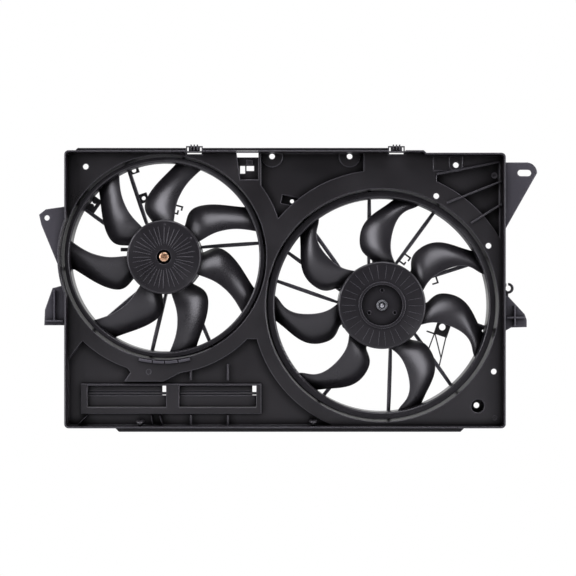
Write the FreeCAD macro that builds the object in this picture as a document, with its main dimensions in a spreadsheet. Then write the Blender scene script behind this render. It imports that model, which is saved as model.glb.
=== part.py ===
import FreeCAD, Part
import math
import os
import Sketcher

# Twin radiator fan module, seen from the radiator side: X to the right, Z up and Y towards the engine.
# The front edge of the rim lies in the plane Y = 0, and the origin is the middle of its lower edge.

SIZES = {
    # Shroud moulding
    "body_half_width": 350.0,
    "body_height": 441.0,
    "right_top_drop": 4.0,
    "right_top_start": 220.0,
    "corner_round": 7.0,
    "rim_wall": 2.5,
    "rim_notch_depth": 17.0,
    "land_depth": 22.0,
    "pan_depth": 32.0,
    "plate": 2.5,
    "flange_rise": 5.5,
    "flange_depth": 8.0,
    "flange_left": -337.0,
    "flange_right": 165.0,
    "lip_drop": 7.5,
    "lip_left": -273.0,
    "lip_right": 288.0,
    # Fan axes and barrels
    "left_fan_x": -193.7,
    "left_fan_z": 272.1,
    "right_fan_x": 155.2,
    "right_fan_z": 194.9,
    "left_barrel_radius": 164.0,
    "right_barrel_radius": 186.5,
    "barrel_wall": 2.4,
    "barrel_back": 92.0,
    "barrel_lip": 8.0,
    "bulge_margin": 1.1,
    # Recessed pans between the two collars
    "left_collar_width": 23.0,
    "left_valley_width": 29.0,
    "right_collar_width": 21.0,
    "right_valley_width": 30.0,
    "pan_left_top": 107.0,
    "pan_left_inset": 26.0,
    "pan_peak_z": 141.0,
    "arm_bottom": 73.0,
    "arm_left_x": -257.0,
    "arm_right_x": -194.3,
    "arm_neck_x": -247.2,
    "arm_neck_z": 87.7,
    "valley_left": -38.5,
    "valley_right": 126.0,
    "arm_left_angle": 251.7,
    "arm_right_angle": 278.0,
    "land_margin": 7.5,
    "tray_rib_left": -150.9,
    "tray_rib_right": -91.6,
    "tray_rib_foot": 2.5,
    "tray_rib_low_top": 18.5,
    "tray_rib_high_foot": 75.0,
    "tray_rib_high_top": 100.0,
    # Ram air flap window
    "window_inset": 23.0,
    "window_right": -38.0,
    "window_bottom": 21.0,
    "window_top": 69.0,
    "flap_opening_bottom": 31.5,
    "flap_opening_top": 66.0,
    "left_opening_start": -316.5,
    "left_opening_end": -190.5,
    "right_opening_start": -169.5,
    "right_opening_end": -46.0,
    "window_front": 26.0,
    "window_back": 40.0,
    "window_margin": 4.5,
    "window_lap": 1.8,
    "window_play": 0.2,
    "flap_pivot_z": 53.4,
    "flap_pivot_depth": 34.0,
    "flap_rod_radius": 2.2,
    "flap_pin_length": 3.0,
    "flap_thickness": 2.0,
    "flap_gap": 1.0,
    "flap_corner_gap": 6.5,
    "flap_groove": 3.2,
    "pin_clearance": 0.08,
    # Harness pocket
    "pocket_left": -78.0,
    "pocket_slant": 6.0,
    "pocket_right": -42.6,
    "pocket_drop": 45.0,
    "pocket_floor_drop": 9.0,
    "pocket_depth": 30.0,
    "pocket_notch": 1.5,
    "pocket_border": 1.2,
    "tie_hole_rise": 10.0,
    "tie_hole_height": 12.3,
    "tie_hole_width": 8.0,
    "plug_hole_rise": 14.3,
    "plug_hole_height": 8.0,
    "plug_hole_width": 12.0,
    "plug_hole_inset": 7.2,
    "tie_block_rise": 24.3,
    "tie_block_height": 7.2,
    "tie_block_width": 9.6,
    # Bolt holes through the panel
    "bolt_hole_radius": 4.5,
    "boss_radius": 17.2,
    "boss_height": 2.5,
    "boss_left_x": -20.8,
    "boss_right_x": 103.6,
    "boss_hole_drop": 7.4,
    "corner_hole_inset": 31.3,
    "corner_hole_drop": 24.4,
    "pad_hole_inset": 76.8,
    "pad_hole_drop": 22.0,
    "pad_width": 46.0,
    "pad_left_margin": 36.2,
    "pad_drop": 31.3,
    "pad_rise": 0.8,
    "pad_boss_radius": 10.6,
    "pad_boss_rise": 1.8,
    "side_hole_inset": 16.1,
    "side_hole_z": 88.9,
    "ring_hole_margin": 8.5,
    "ring_hole_angle": 63.6,
    "upper_side_hole_angle": 29.2,
    "socket_inset": 41.5,
    "socket_z": 33.6,
    "socket_radius": 10.7,
    "socket_wall": 2.2,
    "socket_back": 44.0,
    "socket_hole_radius": 4.6,
    "recess_hole_x": 11.2,
    "recess_hole_z": 362.1,
    "recess_hole_radius": 3.2,
    "cup_width": 34.0,
    "cup_height": 14.0,
    "cup_depth": 8.0,
    "cup_tilt": 12.0,
    # Ribbed recess in the upper right corner
    "corner_reach": 187.8,
    "corner_width": 100.0,
    "corner_drop": 18.0,
    "corner_slope": 19.5,
    "corner_rib": 2.5,
    "corner_rib_rise": 3.0,
    # Mounting ears and feet
    "ear_plate": 4.0,
    "ear_root": 15.0,
    "left_ear_bottom": 262.0,
    "left_ear_hole_reach": 31.2,
    "left_ear_hole_rise": 72.8,
    "left_ear_hole_radius": 4.3,
    "right_ear_root": 4.0,
    "right_ear_reach": 53.5,
    "right_ear_drop": 17.5,
    "right_ear_height": 111.5,
    "right_ear_round": 17.0,
    "right_ear_slot_inset": 20.2,
    "right_ear_slot_drop": 16.8,
    "right_ear_slot_radius": 5.2,
    "right_ear_slot_travel": 11.7,
    "left_foot_bottom": 162.8,
    "right_foot_bottom": 154.3,
    "foot_rib_height": 6.0,
    "hook_reach": 7.4,
    "hook_z": 222.0,
    "hook_bore": 4.5,
    "hook_radius": 8.6,
    "hook_mouth": 3.0,
    # Snap clips in the top edge
    "left_clip_x": -145.1,
    "right_clip_x": 178.2,
    "clip_width": 26.5,
    "clip_drop": 6.0,
    "clip_rise": 8.5,
    "clip_front": 22.0,
    "clip_back": 30.0,
    "clip_wall": 1.6,
    "clip_slot": 2.8,
    "clip_tooth": 2.2,
    "clip_tooth_pitch": 5.0,
    # Fans
    "left_hub_radius": 59.5,
    "right_hub_radius": 70.0,
    "hub_front": 20.0,
    "hub_back": 60.0,
    "hub_wall": 2.5,
    "hub_edge_round": 3.0,
    "left_band_gap": 11.6,
    "right_band_gap": 14.5,
    "band_wall": 2.2,
    "band_front": 30.0,
    "band_back": 65.0,
    "band_lip_gap": 4.0,
    "band_lip_plate": 2.2,
    "band_flare": 3.0,
    "blade_thickness": 3.0,
    "blade_edge": 1.3,
    "blade_camber": 0.1,
    "blade_embed": 0.6,
    # Hub boss and fan nut
    "boss_front": 26.0,
    "boss_back": 30.0,
    "boss_bore_radius": 11.7,
    "boss_outer_radius": 14.2,
    "nut_height": 5.0,
    "nut_front": 21.0,
    "left_nut_radius": 8.0,
    "right_nut_radius": 8.7,
    "shaft_radius": 4.0,
    "shaft_front": 20.0,
    "right_disc_radius": 33.0,
    "right_ring_radius": 37.5,
    "right_ring_rise": 1.5,
    "right_disc_depth": 26.0,
    "disc_hole_place": 24.0,
    "disc_hole_radius": 2.2,
    "disc_hole_count": 3.0,
    # Motors
    "left_motor_radius": 50.0,
    "right_motor_radius": 60.0,
    "can_front": 34.0,
    "can_back": 100.0,
    "can_wall": 2.0,
    "bearing_proud": 3.0,
    "rear_bearing_proud": 9.0,
    "bearing_radius": 11.0,
    "bearing_width": 7.0,
    "bearing_wall": 2.5,
    "shaft_clearance": 0.05,
    "magnet_thickness": 6.0,
    "magnet_gap": 1.2,
    "magnet_start": 46.0,
    "magnet_end": 88.0,
    "magnet_angle": 76.0,
    "magnet_count": 4.0,
    "core_start": 50.0,
    "core_end": 82.0,
    "winding_length": 6.5,
    "winding_inset": 7.0,
    "commutator_radius": 12.0,
    "commutator_end": 97.0,
    "brush_width": 6.0,
    "brush_length": 14.0,
    "brush_gap": 0.3,
    "brush_card_gap": 3.0,
    "card_front": 90.0,
    "card_thickness": 2.0,
    "cap_plate": 2.5,
    "lug_front": 67.0,
    "screw_radius": 2.5,
    "screw_head_radius": 4.5,
    "screw_head_height": 2.8,
    "screw_length": 16.0,
    "screw_clearance": 0.15,
    "screw_count": 3.0,
    "screw_offset": 5.3,
    "lug_radius": 6.0,
    "shaft_end_play": 0.2,
    "socket_width": 24.0,
    "socket_height": 14.0,
    "socket_length": 15.0,
    "shell_wall": 1.6,
    "socket_floor": 2.0,
    "socket_offset": 8.0,
    "pin_pitch": 5.0,
    "pin_wide": 3.0,
    "pin_thick": 0.8,
    # Motor rings and spokes
    "ring_clearance": 0.8,
    "ring_wall": 9.0,
    "ring_front": 70.0,
    "ring_back": 94.0,
    "spoke_width": 4.4,
    "left_spoke_offset": 13.0,
    "right_spoke_offset": 19.0,
    "tab_plate": 4.0,
    "jaw_width": 2.6,
    "brace_width": 1.8,
    "stub_reach": 14.5,
    "stub_height": 6.0,
    "stub_rise": 10.0,
}

LEFT_SPOKE_ANGLES = (8.5, 80.0, 113.0, 149.0, 186.0, 225.0, 261.0, 297.0, 333.0)
RIGHT_SPOKE_ANGLES = (23.5, 59.5, 95.5, 131.5, 150.0, 166.5, 237.5, 274.0, 311.0, 347.5)
LEFT_BLADE_ANGLES = (23.6, 75.0, 126.4, 177.9, 229.3, 280.7, 332.1)
RIGHT_BLADE_ANGLES = (23.5, 76.0, 132.5, 181.5, 226.0, 285.5, 337.5)

# Outlines of the left ear and the two feet, from the root up: reach beyond the shroud's side and height
# above the lower edge of the piece, with the stiffening ribs of a foot as reach and height from and to.
LEFT_EAR = ((0.0, 91.2), (32.8, 86.5), (43.7, 77.9), (40.0, 61.4), (14.6, 0.0))
LEFT_FOOT = ((8.3, 63.2), (22.2, 59.5), (34.4, 24.8), (35.4, 0.0))
LEFT_FOOT_RIBS = ((17.1, 19.6, 8.2, 56.2), (4.0, 33.0, 5.7, 8.2))
RIGHT_FOOT = ((7.0, 55.1), (33.5, 26.4), (36.9, 17.1), (36.9, 5.6), (11.9, 4.9), (3.4, 0.0))
RIGHT_FOOT_RIBS = ((15.8, 18.3, 7.7, 39.7), (4.0, 33.0, 19.6, 22.1))

# Ribs of the corner recess: angle about the right fan where one leaves the collar, and its drop below the
# shroud's top where it meets the right side. The first one starts at the recess's upper left corner.
CORNER_RIBS = ((53.3, 57.6, 47.5), (41.6, 42.8, 84.5))

# Fittings on the spokes. A tab has the spoke's angle, its nearer and farther edge along the spoke, its
# first and last edge to the right of it, then a hole: place along, place to the right, radius, half length.
LEFT_TABS = (
    (113.0, 145.8, 157.4, 0.0, 16.0, 151.5, 8.2, 3.7, 0.0),
    (113.0, 96.0, 111.3, 0.0, 16.0, 103.4, 8.8, 3.3, 0.0),
    (149.0, 138.0, 157.4, 0.0, 27.0, 147.8, 15.2, 3.9, 4.5),
)
RIGHT_TABS = (
    (347.5, 97.5, 119.7, 0.0, 36.0, 107.3, 21.5, 5.4, 0.0),
    (347.5, 166.0, 180.0, 0.0, 12.5, 173.0, 7.2, 3.0, 0.0),
)
# A jaw has the spoke's angle, its place along the spoke, its reach and the signed length of its tip.
LEFT_JAWS = ((80.0, 86.5, 19.0, -5.0), (80.0, 73.5, 14.0, 5.0))
RIGHT_JAWS = ((59.5, 90.7, 14.4, -5.0), (59.5, 76.1, 12.4, 3.5), (23.5, 100.5, 14.0, -8.0),
              (347.5, 98.5, 37.0, -12.0))
# Braces of the large tab, as places along and to the right of the spoke at 347.5 degrees.
RIGHT_BRACES = ((98.5, 34.0, 97.3, 65.0), (98.5, 34.0, 121.3, 70.0), (118.0, 34.0, 122.6, 84.0))

# Each blade station: share of the way from hub to band, leading and trailing angle from the middle of
# the tip in degrees, and the depths of the two edges behind the front of the band in millimetres.
LEFT_BLADE = (
    (0.00, 0.5, 35.0, 1.0, 29.0),
    (0.12, 1.5, 37.5, 1.0, 30.0),
    (0.29, 2.2, 38.0, 2.0, 31.0),
    (0.46, 1.0, 31.5, 4.0, 31.0),
    (0.66, -1.7, 21.0, 6.0, 29.5),
    (0.84, -5.0, 13.0, 8.0, 28.0),
    (1.00, -8.0, 8.2, 9.0, 27.0),
)
RIGHT_BLADE = (
    (0.00, -4.5, 25.5, 1.0, 28.0),
    (0.10, 1.8, 28.5, 1.0, 29.0),
    (0.23, 5.2, 33.0, 2.0, 31.0),
    (0.39, 5.8, 32.0, 4.0, 31.0),
    (0.54, 5.0, 28.5, 6.0, 30.0),
    (0.70, 3.0, 21.8, 8.0, 29.0),
    (0.86, -1.8, 12.3, 9.0, 28.0),
    (1.00, -7.0, 6.4, 10.0, 27.0),
)

doc = FreeCAD.newDocument("TwinFanModule")
sheet = doc.addObject("Spreadsheet::Sheet", "Sizes")
for row, (alias, number) in enumerate(SIZES.items(), start=1):
    sheet.set("A%d" % row, alias)
    sheet.set("B%d" % row, str(number))
    sheet.setAlias("B%d" % row, alias)
doc.recompute()

parts = []


class Dim:
    # A length or angle that carries its number together with its formula in the sheet
    def __init__(self, number, formula):
        self.number = number
        self.formula = formula

    def __add__(self, other):
        other = dim(other)
        return Dim(self.number + other.number, "(%s + %s)" % (self.formula, other.formula))

    def __radd__(self, other):
        return dim(other) + self

    def __sub__(self, other):
        other = dim(other)
        return Dim(self.number - other.number, "(%s - %s)" % (self.formula, other.formula))

    def __rsub__(self, other):
        return dim(other) - self

    def __mul__(self, other):
        other = dim(other)
        return Dim(self.number * other.number, "(%s * %s)" % (self.formula, other.formula))

    def __rmul__(self, other):
        return dim(other) * self

    def __truediv__(self, other):
        other = dim(other)
        return Dim(self.number / other.number, "(%s / %s)" % (self.formula, other.formula))

    def __neg__(self):
        return Dim(-self.number, "(-1 * %s)" % self.formula)


def dim(value):
    return value if isinstance(value, Dim) else Dim(float(value), "(%r)" % float(value))


def root(value):
    return Dim(math.sqrt(value.number), "sqrt(%s)" % value.formula)


def cosine(angle):
    return Dim(math.cos(math.radians(angle)), "cos(%r)" % float(angle))


def sine(angle):
    return Dim(math.sin(math.radians(angle)), "sin(%r)" % float(angle))


def leg(radius, offset):
    # Distance along a line from its foot to a circle, where the line passes this far from the centre
    return root(radius * radius - offset * offset)


class Sheet:
    def __getattr__(self, alias):
        return Dim(float(sheet.get(alias)), "Sizes." + alias)


S = Sheet()


def new_body(label, centre=None):
    body = doc.addObject("PartDesign::Body", label)
    body.Label = label
    if centre:
        body.setExpression(".Placement.Base.x", dim(centre[0]).formula)
        body.setExpression(".Placement.Base.z", dim(centre[1]).formula)
    parts.append(body)
    return body


def origin_part(body, role):
    return [item for item in body.Origin.OriginFeatures if item.Role == role][0]


def new_sketch(body, role="XZ_Plane", depth=0):
    sketch = body.newObject("Sketcher::SketchObject", body.Name + "_sketch")
    sketch.AttachmentSupport = (origin_part(body, role), [""])
    sketch.MapMode = "FlatFace"
    away = -dim(depth) if role == "XZ_Plane" else dim(depth)
    sketch.setExpression(".AttachmentOffset.Base.z", away.formula)
    return sketch


def pin(sketch, kind, index, point, value):
    # Holds a radius, or a point's distance from the sketch's origin, to its formula
    if kind == "Radius":
        number = sketch.addConstraint(Sketcher.Constraint(kind, index, value.number))
    else:
        number = sketch.addConstraint(Sketcher.Constraint(kind, -1, 1, index, point, value.number))
    sketch.setExpression("Constraints[%d]" % number, value.formula)


def circle(sketch, x, z, radius):
    x, z, radius = dim(x), dim(z), dim(radius)
    centre = FreeCAD.Vector(x.number, z.number, 0)
    index = sketch.addGeometry(Part.Circle(centre, FreeCAD.Vector(0, 0, 1), radius.number))
    pin(sketch, "DistanceX", index, 3, x)
    pin(sketch, "DistanceY", index, 3, z)
    pin(sketch, "Radius", index, 0, radius)


def outline(sketch, corners):
    # Closed loop through (x, z) corners; (x, z, cx, cz, turn) reaches its corner on an arc about (cx, cz).
    # A corner reached on an arc is held by one coordinate, since the arc settles the other one.
    spots = [[dim(value) for value in corner[:4]] for corner in corners]
    points = [FreeCAD.Vector(spot[0].number, spot[1].number, 0) for spot in spots]
    ends = []
    for place, corner in enumerate(corners):
        start, stop = points[place - 1], points[place]
        if len(corner) == 2:
            ends.append((sketch.addGeometry(Part.LineSegment(start, stop)), 1, 2))
            continue
        centre = FreeCAD.Vector(spots[place][2].number, spots[place][3].number, 0)
        base = Part.Circle(centre, FreeCAD.Vector(0, 0, 1), (start - centre).Length)
        first, last = (start, stop) if corner[4] == "left" else (stop, start)
        turn = [math.atan2(point.y - centre.y, point.x - centre.x) for point in (first, last)]
        if turn[1] <= turn[0]:
            turn[1] += 2 * math.pi
        index = sketch.addGeometry(Part.ArcOfCircle(base, turn[0], turn[1]))
        ends.append((index, 1, 2) if corner[4] == "left" else (index, 2, 1))
    for place, (index, first, last) in enumerate(ends):
        after = ends[(place + 1) % len(ends)]
        sketch.addConstraint(Sketcher.Constraint("Coincident", index, last, after[0], after[1]))
    for place, (index, first, last) in enumerate(ends):
        x, z = spots[place][:2]
        if len(spots[place]) == 2:
            pin(sketch, "DistanceX", index, last, x)
            pin(sketch, "DistanceY", index, last, z)
            continue
        cx, cz = spots[place][2:]
        pin(sketch, "DistanceX", index, 3, cx)
        pin(sketch, "DistanceY", index, 3, cz)
        if abs(x.number - cx.number) > abs(z.number - cz.number):
            pin(sketch, "DistanceY", index, last, z)
        else:
            pin(sketch, "DistanceX", index, last, x)


def rectangle(sketch, x0, x1, z0, z1):
    outline(sketch, [(x0, z0), (x1, z0), (x1, z1), (x0, z1)])


def pad(body, sketch, length):
    feature = body.newObject("PartDesign::Pad", body.Name + "_pad")
    feature.Profile = sketch
    feature.Reversed = True
    feature.setExpression("Length", dim(length).formula)
    return feature


def pocket(body, sketch, length):
    feature = body.newObject("PartDesign::Pocket", body.Name + "_pocket")
    feature.Profile = sketch
    feature.setExpression("Length", dim(length).formula)
    return feature


def turned(body, profile, kind="PartDesign::Revolution"):
    # Turns an outline of (radius, depth) corners about the body's own Y axis
    sketch = new_sketch(body, "XY_Plane")
    outline(sketch, profile)
    feature = body.newObject(kind, body.Name + "_turned")
    feature.Profile = sketch
    feature.ReferenceAxis = (sketch, ["V_Axis"])
    feature.Angle = 360.0
    return feature


def tube(body, inner, outer, front, back):
    return turned(body, [(inner, front), (outer, front), (outer, back), (inner, back)])


def disc(body, radius, front, back):
    sketch = new_sketch(body, depth=front)
    circle(sketch, 0, 0, radius)
    return pad(body, sketch, back - front)


def repeat(body, feature, count=None, angles=None):
    # Repeats a feature about the Y axis, evenly or at the listed angles
    pattern = body.newObject("PartDesign::PolarPattern", body.Name + "_round")
    pattern.Originals = [feature]
    pattern.Axis = (origin_part(body, "Y_Axis"), [""])
    pattern.Reversed = True
    if angles:
        pattern.Mode = "Spacing"
        pattern.Occurrences = len(angles)
        pattern.Spacings = [after - before for before, after in zip(angles, angles[1:])]
    else:
        pattern.Angle = 360.0
        pattern.setExpression("Occurrences", dim(count).formula)
    body.Tip = pattern
    return pattern


LEFT = (S.left_fan_x, S.left_fan_z)
RIGHT = (S.right_fan_x, S.right_fan_z)
LEFT_COLLAR = S.left_barrel_radius + S.left_collar_width
LEFT_VALLEY = S.left_barrel_radius + S.left_valley_width
RIGHT_COLLAR = S.right_barrel_radius + S.right_collar_width
RIGHT_VALLEY = S.right_barrel_radius + S.right_valley_width
LEFT_BAND = S.left_barrel_radius - S.left_band_gap
RIGHT_BAND = S.right_barrel_radius - S.right_band_gap
LEFT_OUTER = S.left_barrel_radius + S.barrel_wall
RIGHT_OUTER = S.right_barrel_radius + S.barrel_wall
LAND_BACK = S.land_depth + S.plate
PAN_BACK = S.pan_depth + S.plate
WINDOW_START = S.left_opening_start - S.window_margin
WINDOW_END = S.right_opening_end + S.window_margin


def bulge(side, fan, reach):
    # Arc round a barrel that reaches past the shroud's side, from its lower to its upper end
    across = side - fan[0]
    if abs(across.number) >= reach.number:
        return []
    rise = leg(reach, across)
    if across.number < 0:
        rise = -rise
    return [(side, fan[1] - rise), (side, fan[1] + rise, fan[0], fan[1], "left")]


def shell_outline(inset):
    # Edge of the moulding, inwards by the inset
    side = S.body_half_width - inset
    low = dim(inset)
    top = S.body_height - inset
    right_top = top - S.right_top_drop
    bend = S.corner_round - inset
    around = S.bulge_margin - inset
    return [
        (bend - side, low, bend - side, low + bend, "left"),
        (side - bend, low),
        (side, low + bend, side - bend, low + bend, "left"),
    ] + bulge(side, RIGHT, RIGHT_OUTER + around) + [
        (side, right_top - bend),
        (side - bend, right_top, side - bend, right_top - bend, "left"),
        (S.right_top_start + S.right_top_drop, right_top),
        (S.right_top_start, top),
        (bend - side, top),
        (-side, top - bend, bend - side, top - bend, "left"),
    ] + bulge(-side, LEFT, LEFT_OUTER + around) + [
        (-side, low + bend),
    ]


def lower_pan(grow):
    # Recess under the fans: along the bottom, up the right collar, back along the left one and its arm
    side = S.body_half_width - S.rim_wall + grow
    low = S.rim_wall - grow
    bend = S.corner_round - S.rim_wall + grow
    left_collar = LEFT_COLLAR - grow
    right_collar = RIGHT_COLLAR - grow
    peak = S.pan_peak_z + grow
    foot = S.arm_bottom + grow
    left_end = S.pan_left_inset - S.body_half_width
    arm_right, arm_left = S.arm_right_angle.number, S.arm_left_angle.number
    return [
        (bend - side, low, bend - side, low + bend, "left"),
        (RIGHT[0] - leg(right_collar, RIGHT[1] - low), low),
        (RIGHT[0] - leg(right_collar, RIGHT[1] - peak), peak, RIGHT[0], RIGHT[1], "right"),
        (LEFT[0] + leg(left_collar, LEFT[1] - peak), peak),
        (LEFT[0] + left_collar * cosine(arm_right), LEFT[1] + left_collar * sine(arm_right),
         LEFT[0], LEFT[1], "right"),
        (S.arm_right_x - grow, foot),
        (S.arm_left_x + grow, foot),
        (S.arm_neck_x + grow, S.arm_neck_z),
        (LEFT[0] + left_collar * cosine(arm_left), LEFT[1] + left_collar * sine(arm_left)),
        (left_end, LEFT[1] - leg(left_collar, LEFT[0] - left_end), LEFT[0], LEFT[1], "right"),
        (-side, S.pan_left_top + grow),
        (-side, low + bend),
    ]


def valley_pan(grow):
    # Recess between the fans under the top edge, ending in a point where the two collars meet
    left_collar = LEFT_VALLEY - grow
    right_collar = RIGHT_VALLEY - grow
    top = S.body_height - S.rim_wall + grow
    start = S.valley_left - grow
    end = S.valley_right + grow
    across, rise = RIGHT[0] - LEFT[0], RIGHT[1] - LEFT[1]
    apart = root(across * across + rise * rise)
    along = (left_collar * left_collar - right_collar * right_collar + apart * apart) / (2 * apart)
    beside = leg(left_collar, along)
    point = (LEFT[0] + (along * across - beside * rise) / apart,
             LEFT[1] + (along * rise + beside * across) / apart)
    return [
        (point[0], point[1], LEFT[0], LEFT[1], "right"),
        (end, RIGHT[1] + leg(right_collar, RIGHT[0] - end), RIGHT[0], RIGHT[1], "right"),
        (end, top),
        (start, top),
        (start, LEFT[1] + leg(left_collar, start - LEFT[0])),
    ]


def hole(body, x, z, radius, front, back):
    sketch = new_sketch(body, depth=front)
    circle(sketch, x, z, radius)
    return pocket(body, sketch, dim(back) - front)


def box_cut(body, x0, x1, z0, z1, front, back):
    sketch = new_sketch(body, depth=front)
    rectangle(sketch, x0, x1, z0, z1)
    return pocket(body, sketch, dim(back) - front)


def box_pad(body, x0, x1, z0, z1, front, back):
    sketch = new_sketch(body, depth=front)
    rectangle(sketch, x0, x1, z0, z1)
    return pad(body, sketch, dim(back) - front)


def corner_pan(grow):
    # Recess in the upper right corner, under the first rib and outside the right collar
    collar = RIGHT_VALLEY - grow
    end = RIGHT[0] + S.corner_reach + grow
    start = RIGHT[0] + S.corner_reach - S.corner_width - grow
    top = S.body_height - S.corner_drop + grow
    return [
        (start, RIGHT[1] + leg(collar, start - RIGHT[0])),
        (end, RIGHT[1] + leg(collar, end - RIGHT[0]), RIGHT[0], RIGHT[1], "right"),
        (end, top),
        (start, top - S.corner_slope),
    ]


def half_boss(body, x):
    # Boss with a round lower end that grows down from the top wall and stands on the pan floor
    top = S.body_height - S.rim_wall
    centre = S.body_height - S.boss_hole_drop
    sketch = new_sketch(body, depth=S.pan_depth - S.boss_height)
    outline(sketch, [
        (x - S.boss_radius, centre),
        (x + S.boss_radius, centre, x, centre, "left"),
        (x + S.boss_radius, top),
        (x - S.boss_radius, top),
    ])
    pad(body, sketch, S.boss_height)
    hole(body, x, centre, S.bolt_hole_radius, S.pan_depth - S.boss_height, PAN_BACK)


def bar(body, start, end, width, front, back):
    # Straight rib between two points
    run, rise = end[0] - start[0], end[1] - start[1]
    length = root(run * run + rise * rise)
    side = (-rise / length * width / 2, run / length * width / 2)
    sketch = new_sketch(body, depth=front)
    outline(sketch, [
        (start[0] - side[0], start[1] - side[1]), (end[0] - side[0], end[1] - side[1]),
        (end[0] + side[0], end[1] + side[1]), (start[0] + side[0], start[1] + side[1]),
    ])
    return pad(body, sketch, dim(back) - front)


def on_collar(radius, angle):
    # Point round the right fan
    return (RIGHT[0] + radius * cosine(angle), RIGHT[1] + radius * sine(angle))


def top_rib_ends():
    # The first rib of the corner recess runs along the recess's upper edge
    end = RIGHT[0] + S.corner_reach
    rise = S.corner_rib / 2
    top = S.body_height - S.corner_drop + rise
    return (end - S.corner_width, top - S.corner_slope), (end, top)


def rib_wall():
    # Where the corner ribs stop, just inside the rim
    return S.body_half_width - S.rim_wall - S.corner_rib / 4


def plate_holes():
    # Pin holes through the land, as (x, z)
    half, top = S.body_half_width, S.body_height
    return [
        (S.corner_hole_inset - half, top - S.corner_hole_drop),
        (half - S.side_hole_inset, S.side_hole_z),
        on_collar(S.right_barrel_radius + S.ring_hole_margin, S.ring_hole_angle.number),
        on_collar(S.right_barrel_radius + S.ring_hole_margin, S.upper_side_hole_angle.number),
    ]


def build_panel():
    # Front plate of the moulding, with the recessed trays cut out of it
    body = new_body("shroud_panel")
    sketch = new_sketch(body, depth=S.land_depth)
    outline(sketch, shell_outline(0))
    pad(body, sketch, S.plate)
    half, top = S.body_half_width, S.body_height
    sketch = new_sketch(body, depth=S.land_depth)
    outline(sketch, [
        (S.flange_left, top),
        (S.flange_right, top),
        (S.flange_right, top + S.flange_rise),
        (S.flange_left + S.flange_rise, top + S.flange_rise),
    ])
    pad(body, sketch, S.flange_depth)
    sketch = new_sketch(body, depth=S.land_depth)
    outline(sketch, [
        (S.lip_left, 0),
        (S.lip_left + S.lip_drop, -S.lip_drop),
        (S.lip_right - S.lip_drop, -S.lip_drop),
        (S.lip_right, 0),
    ])
    pad(body, sketch, S.flange_depth)
    for pan in (lower_pan, valley_pan, corner_pan):
        sketch = new_sketch(body, depth=S.land_depth)
        outline(sketch, pan(0))
        pocket(body, sketch, S.plate)
    pad_x, pad_z = half - S.pad_hole_inset, top - S.pad_hole_drop
    pad_start, pad_low = pad_x - S.pad_left_margin, top - S.pad_drop
    pad_high = top - S.right_top_drop - S.rim_wall - S.window_play
    box_pad(body, pad_start, pad_start + S.pad_width, pad_low, pad_high, S.land_depth - S.pad_rise, S.land_depth)
    sketch = new_sketch(body, depth=S.land_depth - S.pad_boss_rise)
    outline(sketch, [
        (pad_x - S.pad_boss_radius, pad_z),
        (pad_x + S.pad_boss_radius, pad_z, pad_x, pad_z, "left"),
        (pad_x + S.pad_boss_radius, pad_high),
        (pad_x - S.pad_boss_radius, pad_high),
    ])
    pad(body, sketch, S.pad_boss_rise)
    hole(body, pad_x, pad_z, S.bolt_hole_radius, S.land_depth - S.pad_boss_rise, LAND_BACK)
    front = S.land_depth - S.corner_rib_rise
    bar(body, top_rib_ends()[0], top_rib_ends()[1], S.corner_rib, front, LAND_BACK)
    for leave, start, drop in CORNER_RIBS:
        bar(body, on_collar(S.right_barrel_radius + S.land_margin, start), (rib_wall(), top - drop),
            S.corner_rib, front, LAND_BACK)
    hole(body, half - S.socket_inset, S.socket_z, S.socket_radius, S.land_depth, LAND_BACK)
    for x, z in plate_holes():
        hole(body, x, z, S.bolt_hole_radius, S.land_depth, LAND_BACK)
    hole(body, LEFT[0], LEFT[1], S.left_barrel_radius, S.land_depth, LAND_BACK)
    hole(body, RIGHT[0], RIGHT[1], S.right_barrel_radius, S.land_depth, LAND_BACK)
    sketch = new_sketch(body, depth=S.land_depth)
    outline(sketch, pocket_outline(0, top + S.pocket_notch))
    pocket(body, sketch, S.flange_depth)
    for start, end in clip_places():
        box_cut(body, start, end, top - S.clip_drop, top + 2 * S.flange_rise, S.land_depth, PAN_BACK)
    return body


def build_tray(label, pan):
    # Recessed tray behind its cut-out in the plate
    body = new_body(label)
    sketch = new_sketch(body, depth=LAND_BACK)
    outline(sketch, pan(S.plate))
    pad(body, sketch, PAN_BACK - LAND_BACK)
    sketch = new_sketch(body, depth=LAND_BACK)
    outline(sketch, pan(0))
    pocket(body, sketch, S.pan_depth - LAND_BACK)
    return body


def build_lower_tray():
    body = build_tray("lower_tray", lower_pan)
    box_cut(body, WINDOW_START, WINDOW_END, S.flap_opening_bottom - S.window_lap,
            S.flap_opening_top + S.window_lap, S.pan_depth, PAN_BACK)
    for x, low, high in tray_ribs():
        box_pad(body, x - S.plate / 2, x + S.plate / 2, low, high, LAND_BACK, S.pan_depth)
    return body


def build_valley_tray():
    body = build_tray("valley_tray", valley_pan)
    half_boss(body, S.boss_left_x)
    half_boss(body, S.boss_right_x)
    x, z = S.recess_hole_x, S.recess_hole_z
    back = PAN_BACK + S.cup_depth
    for grow, front, rear in ((S.plate, S.pan_depth, back), (dim(0), S.pan_depth, back - S.plate)):
        wide, tall = S.cup_width / 2 + grow, S.cup_height / 2 + grow
        tilt = -S.cup_tilt.number
        sketch = new_sketch(body, depth=front)
        outline(sketch, [(x + a * cosine(tilt) - b * sine(tilt), z + a * sine(tilt) + b * cosine(tilt))
                         for a, b in ((-wide, -tall), (wide, -tall), (wide, tall), (-wide, tall))])
        if grow.number:
            pad(body, sketch, rear - front)
        else:
            pocket(body, sketch, rear - front)
    hole(body, x, z, S.recess_hole_radius, back - S.plate, back)
    return body


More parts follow.
